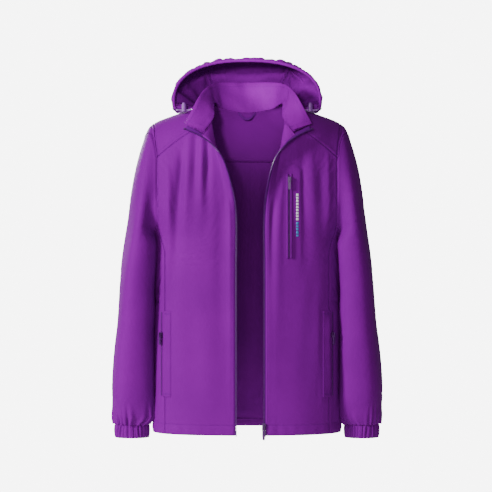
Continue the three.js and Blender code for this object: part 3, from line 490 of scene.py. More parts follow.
def fabric(name, colour, other, rough=0.6, weave=0.75, crinkle=0.25, sheen=0.03, uv=True, gap_shade_share=0.35):
    """Woven cloth: two sets of threads with painted shade in the gaps between them, fine crinkles, and a slow
    change of colour.
    """
    n = Nodes(name)
    place = n.place(uv)
    solid = n.place(False)
    pace = TAU / (weave * MM * 20)
    warp = n.bands(place, pace, "X")
    weft = n.bands(place, pace, "Y")
    threads = n.add("ShaderNodeMath", operation="MAXIMUM")
    n.link(warp, threads.inputs[0])
    n.link(weft, threads.inputs[1])
    wide = n.noise(solid, 9.0, 2.0)
    fine = n.noise(solid, 420.0, 3.0, 0.6)
    tone = n.mix(colour, other, n.ramp(wide, 0.35, 0.7))
    # painted shade: the colour darkens towards 0.72 of itself where the threads' bump is low, in the gaps between
    # them
    gap_shade_colour = tuple(0.72 * c for c in colour)
    base = n.mix(gap_shade_colour, tone, n.ramp(threads.outputs[0], 0.0, 0.6, 1 - gap_shade_share, 1.0))
    crease = n.noise(solid, 85.0, 4.0, 0.6)
    bumped = n.bump(crease, crinkle, 0.0012)
    bumped = n.bump(threads.outputs[0], 0.25, 0.00012, bumped)
    rough_out = n.ramp(fine, 0.3, 0.7, rough - 0.05, rough + 0.07)
    fixed = {"Sheen_Weight": sheen, "Sheen_Roughness": 0.45, "Specular_IOR_Level": 0.12}
    n.shader.inputs["Specular Tint"].default_value = (0.75, 0.12, 0.95, 1)
    n.shader.inputs["Sheen Tint"].default_value = (*(min(1.0, 2.0 * c + 0.02) for c in colour), 1)
    return n.finish(base, rough_out, bumped, **fixed)


def braided(name, colour, other, pitch=1.6):
    """A round braid: diagonal bands both ways along the cord, with painted shade between the strands."""
    n = Nodes(name)
    place = n.place(True)
    turned = n.add("ShaderNodeMapping", {"Rotation": (0, 0, math.radians(42))})
    n.link(place, turned.inputs["Vector"])
    pace = TAU / (pitch * MM * 20)
    one = n.bands(turned.outputs[0], pace, "X", 0.3)
    two = n.bands(turned.outputs[0], pace, "Y", 0.3)
    both = n.add("ShaderNodeMath", operation="MULTIPLY")
    n.link(one, both.inputs[0])
    n.link(two, both.inputs[1])
    # painted shade: the darker colour fills the low ground between the strands, where the bump is low
    base = n.mix(other, colour, n.ramp(both.outputs[0], 0.0, 0.5))
    fine = n.noise(n.place(False), 900.0)
    return n.finish(base, n.ramp(fine, 0.3, 0.7, 0.62, 0.8), n.bump(both.outputs[0], 0.6, 0.0003),
                    Sheen_Weight=0.2)


def moulded(name, colour, other, rough=0.42, metal=0.0, coat=0.0):
    """Moulded plastic or painted metal: faint mottling, fine scratches and worn raised spots."""
    n = Nodes(name)
    place = n.place(False)
    wide = n.noise(place, 160.0, 3.0)
    fine = n.noise(place, 2400.0, 2.0)
    base = n.mix(colour, other, n.ramp(wide, 0.42, 0.68))
    return n.finish(base, n.ramp(wide, 0.3, 0.7, rough - 0.06, rough + 0.1), n.bump(fine, 0.15, 0.00008),
                    Metallic=metal, Coat_Weight=coat, Specular_IOR_Level=0.45)


PURPLE = (0.15, 0.0, 0.212)
PLAIN = bpy.data.materials.new("plain")
SHELL = fabric("shell_cloth", PURPLE, (0.132, 0.0, 0.19))
SHELL_FINE = fabric("shell_cloth_gathered", PURPLE, (0.132, 0.0, 0.19), crinkle=0.4)
INNER = fabric("inner_cloth", (0.155, 0.0, 0.215), (0.135, 0.0, 0.19), rough=0.5, weave=0.6, crinkle=0.35)
TAPE = fabric("tape_cloth", (0.085, 0.001, 0.14), (0.07, 0.001, 0.12), rough=0.7, weave=1.1, crinkle=0.05)
ELASTIC = fabric("elastic_cloth", (0.12, 0.003, 0.20), (0.10, 0.002, 0.17), rough=0.75, weave=1.4,
                 crinkle=0.1)
THREAD = fabric("thread", (0.11, 0.002, 0.19), (0.09, 0.002, 0.16), rough=0.5, weave=0.3, uv=False)
CORD = braided("cord_braid", (0.33, 0.13, 0.43), (0.2, 0.06, 0.28))
TEETH = moulded("zip_teeth_plastic", (0.07, 0.002, 0.12), (0.05, 0.001, 0.09), 0.38)
METAL = moulded("painted_metal", (0.05, 0.006, 0.08), (0.08, 0.014, 0.12), 0.38, metal=0.25, coat=0.1)
LOCK = moulded("lock_plastic", (0.16, 0.03, 0.24), (0.12, 0.02, 0.19), 0.4)
BRIGHT = moulded("eyelet_metal", (0.55, 0.50, 0.60), (0.45, 0.40, 0.50), 0.28, metal=0.9)
PRINT_WHITE = moulded("print_white", (0.72, 0.66, 0.76), (0.62, 0.56, 0.68), 0.5)
PRINT_BLUE = moulded("print_blue", (0.03, 0.22, 0.52), (0.02, 0.18, 0.44), 0.5)

BODY_STITCHES = Stitches("stitches_body", THREAD)
HOOD_STITCHES = Stitches("stitches_hood", THREAD)
SLEEVE_STITCHES = {name: Stitches(f"stitches_sleeve_{name}", THREAD) for name in SIDES}


def own(obj, body, slot, *nodes):
    """obj rides on a body and stands for CAD nodes, which it hides. The slot argument is not used."""
    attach(obj, body)
    if nodes:
        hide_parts(*nodes)
    return obj


# ---- the camera, the lights and the floor ------------------------------------
VIEW_MIDDLE = (-0.002, -0.276)
VIEW_WIDTH = 0.984
VIEW_DISTANCE = 3.4
JACKET_FRONT = -0.12
SENSOR = 36.0


def make_camera():
    data = bpy.data.cameras.new("camera")
    data.sensor_width = SENSOR
    data.lens = SENSOR * VIEW_DISTANCE / VIEW_WIDTH
    camera = bpy.data.objects.new("camera", data)
    camera.location = (VIEW_MIDDLE[0], JACKET_FRONT - VIEW_DISTANCE, VIEW_MIDDLE[1])
    camera.rotation_euler = (math.pi / 2, 0, 0)
    bpy.context.scene.collection.objects.link(camera)
    bpy.context.scene.camera = camera


def area_light(name, place, target, size, watts, colour=(1, 1, 1)):
    data = bpy.data.lights.new(name, "AREA")
    data.shape = "DISK"
    data.size = size
    data.energy = watts
    data.color = colour
    light = bpy.data.objects.new(name, data)
    light.location = place
    way = np.subtract(target, place)
    light.rotation_euler = (math.atan2(math.hypot(way[0], way[1]), -way[2]), 0,
                            math.atan2(way[1], way[0]) - math.pi / 2)
    bpy.context.scene.collection.objects.link(light)


def make_studio():
    middle = (0.0, -0.06, -0.3)
    area_light("key", (-3.1, -2.2, 0.8), middle, 1.0, 240)
    area_light("fill", (-0.3, -3.4, 0.0), middle, 1.8, 42)
    area_light("back", (-1.6, 2.8, 1.1), middle, 1.4, 110)
    data = bpy.data.lights.new("hood_light", "SPOT")
    data.energy = 520
    data.spot_size = math.radians(8)
    data.spot_blend = 1.0
    data.shadow_soft_size = 0.12
    light = bpy.data.objects.new("hood_light", data)
    light.location = (-0.35, -2.6, 0.12)
    light.rotation_euler = (math.radians(89.2), 0, math.radians(-7.6))
    bpy.context.scene.collection.objects.link(light)
    world = bpy.data.worlds.new("studio")
    world.use_nodes = True
    tree = world.node_tree
    ambient = tree.nodes["Background"]
    ambient.inputs["Color"].default_value = (1, 1, 1, 1)
    ambient.inputs["Strength"].default_value = 0.2
    seen = tree.nodes.new("ShaderNodeBackground")
    seen.inputs["Color"].default_value = (1, 1, 1, 1)
    seen.inputs["Strength"].default_value = 7.0
    path = tree.nodes.new("ShaderNodeLightPath")
    pick = tree.nodes.new("ShaderNodeMixShader")
    tree.links.new(path.outputs["Is Camera Ray"], pick.inputs[0])
    tree.links.new(ambient.outputs[0], pick.inputs[1])
    tree.links.new(seen.outputs[0], pick.inputs[2])
    tree.links.new(pick.outputs[0], tree.nodes["World Output"].inputs["Surface"])
    bpy.context.scene.world = world


FLOOR_Z = -980.0
FLOOR_RADIUS = 1250.0


def make_floor():
    n = Nodes("floor_paint")
    wide = n.noise(n.place(False), 3.0, 2.0)
    base = n.mix((0.86, 0.86, 0.86), (0.82, 0.82, 0.83), wide)
    material = n.finish(base, n.ramp(wide, 0.3, 0.7, 0.6, 0.75), n.bump(wide, 0.05, 0.001))
    turn = np.linspace(0, TAU, 97)[:-1]
    rings = [vec(r * np.cos(turn), r * np.sin(turn), z) for r, z in
             ((FLOOR_RADIUS * 0.5, FLOOR_Z), (FLOOR_RADIUS - 6, FLOOR_Z),
              (FLOOR_RADIUS, FLOOR_Z - 4), (FLOOR_RADIUS, FLOOR_Z - 20))]
    verts = np.concatenate(rings)
    faces = grid_faces(4, 96, True, True) + [tuple(range(96))]
    mesh_object("floor", verts, faces, material)


# ---- the body's cloth --------------------------------------------------------
# Folds of the fronts: each is a list of (x, z, height, width), from its top to its foot.
FRONT_FOLDS = [
    [(-78, -70, -3.0, 5), (-79, -116, -5.0, 6), (-80, -184, -2.6, 9), (-82, -270, 0, 14)],
    [(-90, -60, 2.0, 6), (-90, -114, 3.2, 7), (-88, -184, 2.2, 9), (-86, -240, 0, 10)],
    [(-102, -60, -1.6, 5), (-104, -124, -2.2, 6), (-106, -190, 0, 8)],
    [(-116, -60, 1.4, 7), (-118, -124, 2.6, 8), (-122, -204, 2.2, 10), (-126, -284, 0, 12)],
    [(-130, -80, 0, 6), (-132, -114, -4.0, 7), (-138, -184, -5.4, 9), (-144, -264, -3.6, 11),
     (-150, -344, -1.2, 12), (-152, -410, 0, 13)],
    [(-155, -110, 0, 6), (-155, -150, 2.0, 7), (-155, -204, 3.0, 7), (-154, -264, 2.0, 8),
     (-153, -340, 0, 9)],
    [(-42, -130, 0, 6), (-36, -170, 2.2, 6), (-32, -210, 2.8, 6), (-31, -304, 2.2, 7),
     (-31, -450, 1.2, 7), (-31, -600, 0.3, 8)],
    [(-54, -160, -1.0, 9), (-52, -220, -2.0, 11), (-52, -330, -2.0, 13), (-52, -470, -1.0, 16),
     (-52, -600, 0, 18)],
    [(86, -80, -2.0, 6), (73, -114, -4.6, 7), (59, -154, -3.6, 6), (51, -214, -4.0, 6),
     (49, -270, -2.2, 6), (48, -350, 0, 8)],
    [(76, -130, 0, 6), (64, -184, 2.8, 7), (61, -264, 2.8, 8), (60, -364, 1.8, 10), (60, -470, 0, 12)],
    [(46, -170, 0, 4), (42, -200, 2.2, 4), (41, -264, 2.2, 5), (42, -444, 1.2, 5), (42, -600, 0.3, 5)],
    [(98, -110, 0, 7), (98, -154, 1.8, 7), (100, -244, 1.8, 8), (102, -340, 0, 10)],
    [(110, -70, -1.0, 7), (110, -134, -4.4, 7), (112, -194, -3.8, 8), (116, -264, -1.8, 10),
     (120, -360, 0, 12)],
    [(127, -80, 0.6, 8), (128, -114, 2.2, 9), (130, -164, 3.0, 9), (134, -240, 1.2, 10),
     (138, -320, 0, 12)],
    [(146, -100, 0, 7), (147, -140, -2.0, 7), (149, -190, -2.0, 8), (150, -260, 0, 9)],
    [(161, -80, 0.6, 5), (162, -134, 2.4, 6), (163, -200, 1.6, 7), (160, -280, 0, 8)],
    [(140, -280, 0, 12), (132, -380, -2.0, 15), (122, -500, -2.0, 18), (116, -620, 0, 20)],
    [(-120, -330, 0, 14), (-112, -430, -1.4, 18), (-106, -520, -1.4, 20), (-104, -620, 0, 20)],
]


def fold_height(x, z):
    total = np.zeros(np.broadcast(x, z).shape)
    for keys in FRONT_FOLDS:
        k = np.array(keys, float)[::-1]
        height = np.interp(z, k[:, 1], k[:, 2], 0, k[-1, 2])
        width = np.interp(z, k[:, 1], k[:, 3])
        total += height * np.exp(-((x - np.interp(z, k[:, 1], k[:, 0])) / width) ** 2)
    return total * np.where(x < 0, 1.35, 0.85)


def calm(x, z):
    """0 where a pocket's zip lies on the cloth, 1 well away from it."""
    chest = np.maximum(np.abs(x - CHEST_ZIP_X - 6) - 14, 0) / 8
    above = np.maximum(z - CHEST_ZIP_TOP - 4, CHEST_ZIP_TOP - CHEST_ZIP_LENGTH - 6 - z) / 16
    near_chest = smooth(np.maximum(chest, above))
    hand = np.maximum(np.abs(np.abs(x) - HAND_ZIP_X + 6) - 14, 0) / 10
    over = np.maximum(z - HAND_ZIP_TOP - 6, HAND_ZIP_TOP - HAND_ZIP_LENGTH - 6 - z) / 16
    return near_chest * smooth(np.maximum(hand, over))


def pucker(z, seed):
    """How a sewn seam rises and sinks along its length."""
    return 0.55 * waves(z / 20, 5, 2, 6, seed)


def hem_height(z):
    """The hem's band: a stitched line 20 mm up and a fuller edge under it."""
    up = z - HEM_Z
    return -0.7 * np.exp(-((up - HEM_LINE) / 1.6) ** 2) + 0.8 * np.exp(-((up - 8) / 7) ** 2)


def front_rows():
    low = np.concatenate([np.linspace(0, 0.5, 113), 0.125 * np.array([0.155, 0.17, 0.18, 0.19, 0.205])])
    return np.array(sorted({*low, *np.linspace(0.5, 1, 57), 1 - 0.003, 1 - 0.009}))


BODY_SETTLED = {}


def make_front(name):
    side = SIDES[name]
    sign = side["sign"]
    share = np.concatenate([np.linspace(0, LAPEL_SHARE, 15),
                            LAPEL_SHARE + (1 - LAPEL_SHARE) * dense(46)[1:]])
    a, b = np.meshgrid(share, front_rows())
    points = front_surface(side, a, b)
    lapel = smooth((b - 0.5) / 0.1)
    for _ in range(10):
        points[:, 1:-1] += 0.5 * (lapel[:, 1:-1, None] * smooth((0.5 - a[:, 1:-1, None]) / 0.2)
                                  * (0.5 * (points[:, :-2] + points[:, 2:]) - points[:, 1:-1]))
    x, z = points[..., 0], points[..., 2]
    from_edge = along(points, 1)
    to_outer = from_edge[:, -1:] - from_edge
    to_top = along(points, 0)[-1:] - along(points, 0)
    on_body = lerp(smooth(from_edge / ROLL_REACH), smooth((a - LAPEL_SHARE) / 0.12), lapel)
    height = fold_height(x, z) * on_body * smooth(to_outer / 16) * smooth(to_top / 14)
    height += 1.1 * drift(x, z, 90, 3) * smooth(from_edge / 30) * smooth(to_outer / 30) * smooth(to_top / 20)
    height *= calm(x, z)
    height += seam_profile(to_outer) + seam_profile(to_top) + 0.5 * seam_profile(from_edge)
    height += (pucker(z, 5 if sign < 0 else 6) * np.exp(-to_outer / 5)
               * smooth((HAND_ZIP_TOP - 10 - z) / -20))
    height += hem_height(z) + 0.5 * waves(x / 30, 5, 3, 9, 8) * np.exp(-((z - HEM_Z - 10) / 12) ** 2)
    height += 0.35 * waves(z / 20, 6, 2, 8, 12) * np.exp(-((from_edge - 3) / 5) ** 2)
    points = points + sign * grid_normals(points) * height[..., None]
    pinned = np.maximum(border_pins(points, 14), 1 - calm(x, z))
    pinned = np.maximum(pinned, 1 - smooth((a - LAPEL_SHARE) / 0.1))
    pinned = np.maximum(pinned, 0.8 * smooth((-270 - z) / 110))
    points = settle(points, np.maximum(pinned, 0.15), excess=0.004, cap=2.8)
    normals = sign * grid_normals(points)
    piece = sheet_object(f"front_panel_{name}", points, SHELL, sign)
    own(piece, "root", "shell_fabric", f"front_panel_{name}")
    keep = int(np.searchsorted(share, 3 / 9))
    back = points[:, :keep] - normals[:, :keep] * 2.4
    back += normals[:, :keep] * (1.5 * (a[:, :keep] < 0.01))[..., None]
    ripple = 0.5 * drift(back[..., 0] * 1.6, back[..., 2], 34, 14) * smooth(from_edge[:, :keep] / 10)
    back -= normals[:, :keep] * (0.4 + 0.6 * np.abs(ripple))[..., None]
    facing = sheet_object(f"front_facing_{name}", back, INNER, -sign)
    own(facing, "root", "inner_fabric", f"front_facing_{name}")
    for column, face in ((2, 1), (2, -1), (14, -1)):
        line = points[:, column] if face > 0 else back[:, column]
        BODY_STITCHES.row(line, face * normals[:, column], lift=0.2)
    BODY_STITCHES.row(points[:, -4], normals[:, -4])
    BODY_STITCHES.row(points[-4, 14:], normals[-4, 14:])
    hem_row = int(np.argmin(np.abs(points[:, 30, 2] - HEM_Z - HEM_LINE)))
    BODY_STITCHES.row(points[hem_row], normals[hem_row])
    BODY_SETTLED[name] = piece


def make_side(name):
    sign = SIDES[name]["sign"]
    across, up = np.meshgrid(lerp(-1, 1, dense(26)), dense(96))
    z = HEM_Z + (side_top(across) - HEM_Z) * up
    points = side_point(across, z, sign)
    _, to_seam, _, to_top = margins(points)
    zip_side = np.where(across < 0, calm(points[..., 0], z), 1.0)
    height = 1.6 * drift(points[..., 1] * 1.4, z, 80, 21)
    height = height * smooth(to_seam / 16) * smooth(to_top / 25) * zip_side
    height += seam_profile(to_seam) * zip_side + seam_profile(to_top) + hem_height(z)
    seeds = np.where(across < 0, pucker(z, 5 if sign < 0 else 6), pucker(z, 7))
    height += seeds * np.exp(-to_seam / 5) * np.where(across < 0, smooth((HAND_ZIP_TOP - 10 - z) / -20), 1)
    points = points + sign * grid_normals(points) * height[..., None]
    points = settle(points, np.maximum(np.maximum(border_pins(points, 10), 1 - zip_side), 0.03), cap=4)
    piece = sheet_object(f"side_panel_{name}", points, SHELL, sign)
    own(piece, "root", "shell_fabric", f"side_panel_{name}")
    normals = sign * grid_normals(points)
    row = int(np.argmin(np.abs(points[:, 10, 2] - HEM_Z - HEM_LINE)))
    BODY_STITCHES.row(points[row], normals[row])


def make_back():
    across, b = np.meshgrid(lerp(-1, 1, dense(84)), front_rows())
    z = outer_level(b)
    points = body_point(across * outer_x(z), z, 1)
    _, to_seam, _, to_top = margins(points)
    x = points[..., 0]
    height = 3.0 * drift(x, z, 120, 31) + 2.6 * waves(x / 60, 4, 1, 4, 33) * smooth((z + 660) / 260)
    height = height * smooth(to_seam / 30) * smooth(to_top / 40)
    height += seam_profile(to_seam) + seam_profile(to_top) + hem_height(z) + pucker(z, 7) * np.exp(-to_seam / 5)
    points = points - grid_normals(points) * height[..., None]
    points = settle(points, np.maximum(border_pins(points, 14), 0.03), cap=6)
    piece = sheet_object("back_panel", points, SHELL, -1)
    own(piece, "root", "shell_fabric", "back_panel")
    normals = -grid_normals(points)
    for row in (int(np.argmin(np.abs(points[:, 10, 2] - HEM_Z - HEM_LINE))), -4):
        BODY_STITCHES.row(points[row], normals[row])


# ---- yokes -------------------------------------------------------------------
def armhole_edge(angle):
    """x of a yoke's armhole border, where its surface has turned by this angle."""
    x = np.full_like(angle, SHOULDER_POINT_X)
    for _ in range(12):
        x = armhole_x(ridge_z(x) - SHOULDER_ROUND * (1 - np.cos(angle)))
    return x


def make_shoulder_yoke(name):
    side = SIDES[name]
    sign = side["sign"]
    a, b = np.meshgrid(dense(34), dense(34))
    outer = np.arccos(1 - (ridge_z(ARMHOLE_FRONT_X) - YOKE_SEAM_Z) / SHOULDER_ROUND) * (1 - b)
    x = lerp(side["neck"], armhole_edge(outer), a)
    top = ridge_z(x)
    seam_z = lerp(ROLL_KEYS[-1][1], YOKE_SEAM_Z, a) + 7 * np.sin(math.pi * a)
    angle = lerp(np.arccos(1 - np.clip(top - seam_z, 0, SHOULDER_ROUND) / SHOULDER_ROUND), 0.0, b)
    z = top - SHOULDER_ROUND * (1 - np.cos(angle))
    points = vec(sign * x, MID_Y - depth_at(x, z) * np.sin(angle), z)
    row, to_side, up, to_top = margins(points)
    height = 1.0 * drift(x, z, 60, 41) * smooth(np.minimum(to_side, up) / 25) * smooth(to_top / 25)
    height += seam_profile(up) + seam_profile(row[:, -1:] - row)
    points = points + sign * grid_normals(points) * height[..., None]
    piece = sheet_object(f"shoulder_yoke_{name}", points, SHELL, sign)
    own(piece, "root", "shell_fabric", f"shoulder_yoke_{name}")
    normals = sign * grid_normals(points)
    BODY_STITCHES.row(points[4], normals[4])
    BODY_STITCHES.row(points[:, -4], normals[:, -4])


def neck_seam_z(x, neck):
    return ridge_z(neck) * (x / neck) ** 2


def make_back_yoke():
    share, b = np.meshgrid(lerp(-1, 1, dense(88)), dense(26))
    neck = np.where(share < 0, SIDES["right"]["neck"], SIDES["left"]["neck"])
    outer = np.arccos(1 - (ridge_z(ARMHOLE_FRONT_X) - YOKE_SEAM_Z) / SHOULDER_ROUND) * (1 - b)
    x = share * armhole_edge(outer)
    top = ridge_z(x)
    on_neck = np.abs(x) < neck
    neck_turn = np.arccos(np.clip(1 - (top - neck_seam_z(np.abs(x), neck)) / SHOULDER_ROUND, -1, 1))
    neck_fall = np.where(on_neck, neck_turn, 0)
    seam_fall = np.arccos(1 - np.minimum(SHOULDER_ROUND, top - YOKE_SEAM_Z) / SHOULDER_ROUND)
    angle = lerp(seam_fall, np.maximum(0.0, neck_fall), b)
    z = top - SHOULDER_ROUND * (1 - np.cos(angle))
    z = z - np.maximum(0, top - YOKE_SEAM_Z - SHOULDER_ROUND) * (1 - b) ** 3
    points = vec(x, MID_Y + depth_at(x, z) * np.sin(angle), z)
    _, to_side, up, to_top = margins(points)
    height = 1.2 * drift(x, z, 80, 43) * smooth(np.minimum(up, to_top) / 25)
    height = height * smooth(to_side / 25) + seam_profile(up)
    points = points - grid_normals(points) * height[..., None]
    piece = sheet_object("back_yoke", points, SHELL, -1)
    own(piece, "root", "shell_fabric", "back_yoke")
    BODY_STITCHES.row(points[4], -grid_normals(points)[4])


# ---- collar ------------------------------------------------------------------
COLLAR_LIFT = 1.8
COLLAR_STAND = 62.0
COLLAR_END = 0.028


def collar_base_half(side):
    n, s = side["neck"], side["sign"]
    rise = vec(0, 0, COLLAR_LIFT)
    one = np.float64(1)
    return [edge_point(one, side) + vec(s, 0, COLLAR_LIFT), roll_point(one, side) + rise,
            body_point(s * (n - 1), np.float64(-2), -1) + rise,
            body_point(s * (n - 2), ridge_z(n) - 0.5, -1) + rise,
            body_point(s * n * 0.7, neck_seam_z(n * 0.7, n), 1) + vec(0, -1.5, COLLAR_LIFT),
            vec(0, -1.5, COLLAR_LIFT)]


def collar_top_half(side):
    n, s = side["neck"], side["sign"]
    return [vec(s * (n + 57), -137, -43), vec(s * (n + 40), -131, -8), vec(s * (n + 25), -116, 22),
            vec(s * (n + 9), -75, 46), vec(s * n * 0.8, -22, COLLAR_STAND - 3), vec(0, 8, COLLAR_STAND)]


def both_halves(half):
    return np.array(half(SIDES["right"]) + half(SIDES["left"])[::-1][1:])


COLLAR_BASE = both_halves(collar_base_half)
COLLAR_TOP = both_halves(collar_top_half)


def collar_point(s, t):
    return lerp(spline(COLLAR_BASE, s), spline(COLLAR_TOP, s), np.asarray(t)[..., None])


def make_collar():
    """One turned piece: up the outside, round the edge, and down the inside."""
    s, t = np.meshgrid(np.linspace(COLLAR_END, 1 - COLLAR_END, 150), np.linspace(-0.045, 1, 23))
    outer = collar_point(s, t)
    normals = -grid_normals(outer)
    row, to_end, up, _ = margins(outer)
    edge = np.exp(-((1 - t) / 0.14) ** 2)
    crumple = 1.1 * drift(row, up * 2.4, 46, 51) * smooth(up / 12) * smooth(to_end / 14)
    crumple += 0.35 * waves(row / 30, 6, 2, 7, 53) * edge
    outer = outer + normals * crumple[..., None]
    creases = 0.9 * np.abs(drift(row * 0.8 + up * 0.5, up * 1.3, 30, 55)) * np.exp(-((t - 0.1) / 0.3) ** 2)
    depth = 3.2 + 0.5 * (1 - t) + creases - 0.9 * np.exp(-((1 - t) / 0.06) ** 2)
    inner = outer - normals * depth[..., None]
    turn = []
    for k in range(1, 4):
        angle = math.pi * k / 4
        middle = (outer[-1] + inner[-1]) / 2
        half = (outer[-1] - inner[-1]) / 2
        rise = unit(outer[-1] - outer[-2]) * np.linalg.norm(half, axis=-1, keepdims=True)
        turn.append(middle + half * math.cos(angle) + rise * math.sin(angle))
    points = np.concatenate([outer, turn, inner[::-1]])
    piece = sheet_object("collar", points, INNER, -1, thickness=0)
    own(piece, "root", "shell_fabric", "collar", "collar_facing")
    rim = 19
    BODY_STITCHES.row(outer[rim], normals[rim])
    BODY_STITCHES.row(inner[rim], -normals[rim], lift=0.3)
    BODY_STITCHES.row(inner[1], -normals[1], lift=0.3)
    for column in (3, -4):
        BODY_STITCHES.row(inner[:, column], -normals[:, column], lift=0.3)


# ---- sleeves -----------------------------------------------------------------
SLEEVE_OUTER = [[190, -28], [205, -43], [221, -104], [235, -176], [245, -250], [254, -320], [261, -395],
                [268, -460], [272, -520], [274, -580], [268, CUFF_TOP]]
SLEEVE_INNER = [[190, -262], [195, -277], [196.5, -302], [197, -334], [197, -372], [197, -416], [197, -462],
                [196.5, -508], [196, -552], [195, -597], [199, CUFF_TOP]]
SLEEVE_DEPTH = [67, 70, 74, 75, 74, 72, 68, 62, 55, 48, 31]
CAP_SPREAD = math.pi * 6 / 16
SLEEVE_LAP = 17.0


def sleeve_point(phi, t, sign):
    outer = spline(SLEEVE_OUTER, t)
    inner = spline(SLEEVE_INNER, t)
    middle = (outer + inner) / 2 + (outer - inner) / 2 * np.cos(phi)[..., None]
    tube = vec(sign * middle[..., 0], MID_Y - spline(SLEEVE_DEPTH, t)[..., 0] * np.sin(phi), middle[..., 1])
    away = 1 - (1 - np.clip(t / 0.22, 0, 1)) ** 2
    return lerp(armhole_point(phi, sign), tube, away[..., None])


def cap_edge(phi):
    share = np.abs(np.arctan2(np.sin(phi), np.cos(phi))) / CAP_SPREAD
    return np.where(share < 1, 0.004 + 0.13 * np.cos(np.minimum(1, share) * math.pi / 2) ** 2, 0)


def sleeve_folds(phi, z, sign):
    """Long soft folds down the sleeve, and the gathers above the cuff."""
    drop = -z
    seed = 61 if sign < 0 else 62
    turn = phi + 0.35 * np.sin(drop / 140 + seed)
    long = 1.2 * np.cos(3 * turn + 0.8) + 0.7 * np.cos(5 * turn + drop / 210 + seed)
    elbow = 1.5 * np.sin(drop / 16 + 2.2 * np.sin(phi)) * np.exp(-((drop - 400) / 60) ** 2)
    elbow = elbow * np.maximum(0, -np.cos(phi))
    body = (long + elbow) * smooth((drop - 90) / 160) * smooth((640 - drop) / 60)
    share = np.clip((drop - 575) / (-CUFF_TOP - 575), 0, 1)
    ragged = 1 + 0.5 * waves(phi, 5, 3, 9, seed + 10)
    reach = np.clip((share - 0.35 * (1 - ragged) - 0.25) / 0.75, 0, 1)
    gathers = waves(phi, 9, 13, 30, seed + 20)
    return body + 3.4 * gathers * reach ** 1.4


def sleeve_lap(phi, z):
    """How far the sleeve's inner front reaches in over the rounded side of the body."""
    turn = np.abs(np.arctan2(np.sin(phi - math.radians(134)), np.cos(phi - math.radians(134))))
    return np.exp(-(turn / 0.72) ** 2.6) * smooth((-232 - z) / 46) * smooth((z + 642) / 24)


def make_sleeve(name):
    sign = SIDES[name]["sign"]
    levels = [[0, 0.002, 0.006], np.linspace(0.011, 0.9, 112), np.linspace(0.905, 1, 24)]
    phi, b = np.meshgrid(np.linspace(0, TAU, 145)[:-1], np.concatenate(levels))
    t = lerp(cap_edge(phi), 1, b)
    points = sleeve_point(phi, t, sign)
    points = points - vec(sign * SLEEVE_LAP, -4, 0) * sleeve_lap(phi, points[..., 2])[..., None]
    down = along(points, 0)
    height = sleeve_folds(phi, points[..., 2], sign) * smooth(down / 60)
    height += 1.2 * drift(phi * 45, points[..., 2], 100, 71) * smooth(down / 40) * smooth((down[-1:] - down) / 50)
    height += seam_profile(down) + 2.2 * np.exp(-((down[-1:] - down - 17) / 15) ** 2)
    normals = sign * grid_normals(points, True)
    points = points - normals * height[..., None] * np.sign(np.sum(normals[40, 0] * vec(-sign, 0, 0)))
    pinned = np.maximum(1 - smooth(down / 45), 1 - smooth((down[-1:] - down) / 90))
    pinned = np.maximum(pinned, 0.7 * sleeve_lap(phi, points[..., 2]))
    points = settle(points, np.maximum(pinned, 0.3), excess=0.006, cap=2.6, wrap=True)
    piece = sheet_object(f"sleeve_{name}", points, SHELL, -sign, wrap=True)
    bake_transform(piece)
    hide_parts(f"sleeve_{name}", f"sleeve_top_{name}")
    out = -sign * grid_normals(points, True)
    top = np.roll(points[4], 72, 0)
    SLEEVE_STITCHES[name].row(top, np.roll(out[4], 72, 0), lift=0.25)
    stitches = SLEEVE_STITCHES[name].make()
    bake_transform(stitches)
    cap_phi, share = np.meshgrid(np.linspace(-CAP_SPREAD, CAP_SPREAD, 55), dense(16))
    cap = sleeve_point(cap_phi, cap_edge(cap_phi) * share, sign)
    over = along(cap, 0)
    under = over[-1:] - over
    swell = seam_profile(over) + seam_profile(under)
    swell += 0.5 * drift(cap_phi * 60, over, 40, 73) * smooth(over / 12) * smooth(under / 12)
    cap_out = grid_normals(cap) * -sign
    cap = cap + cap_out * swell[..., None]
    piece = sheet_object(f"sleeve_cap_{name}", cap, SHELL, -sign)
    own(piece, "root", "shell_fabric", f"sleeve_cap_{name}")
    BODY_STITCHES.row(cap[-4, 6:-6], cap_out[-4, 6:-6])


def make_armhole_seam(name):
    """The turned seam allowance under the armhole's stitches, a soft round edge."""
    sign = SIDES[name]["sign"]
    phi = np.linspace(0, TAU, 97)
    loop = armhole_point(phi, sign) - vec(sign * 0.9, 0, 0)
    loop[:, 1] += 0.5 * np.sin(phi)
    loop[:, 2] -= 0.8 * np.cos(phi)
    seam = tube(f"armhole_seam_{name}", loop, 1.0, SHELL, per=2, sides=8)
    own(seam, "root", "shell_fabric")


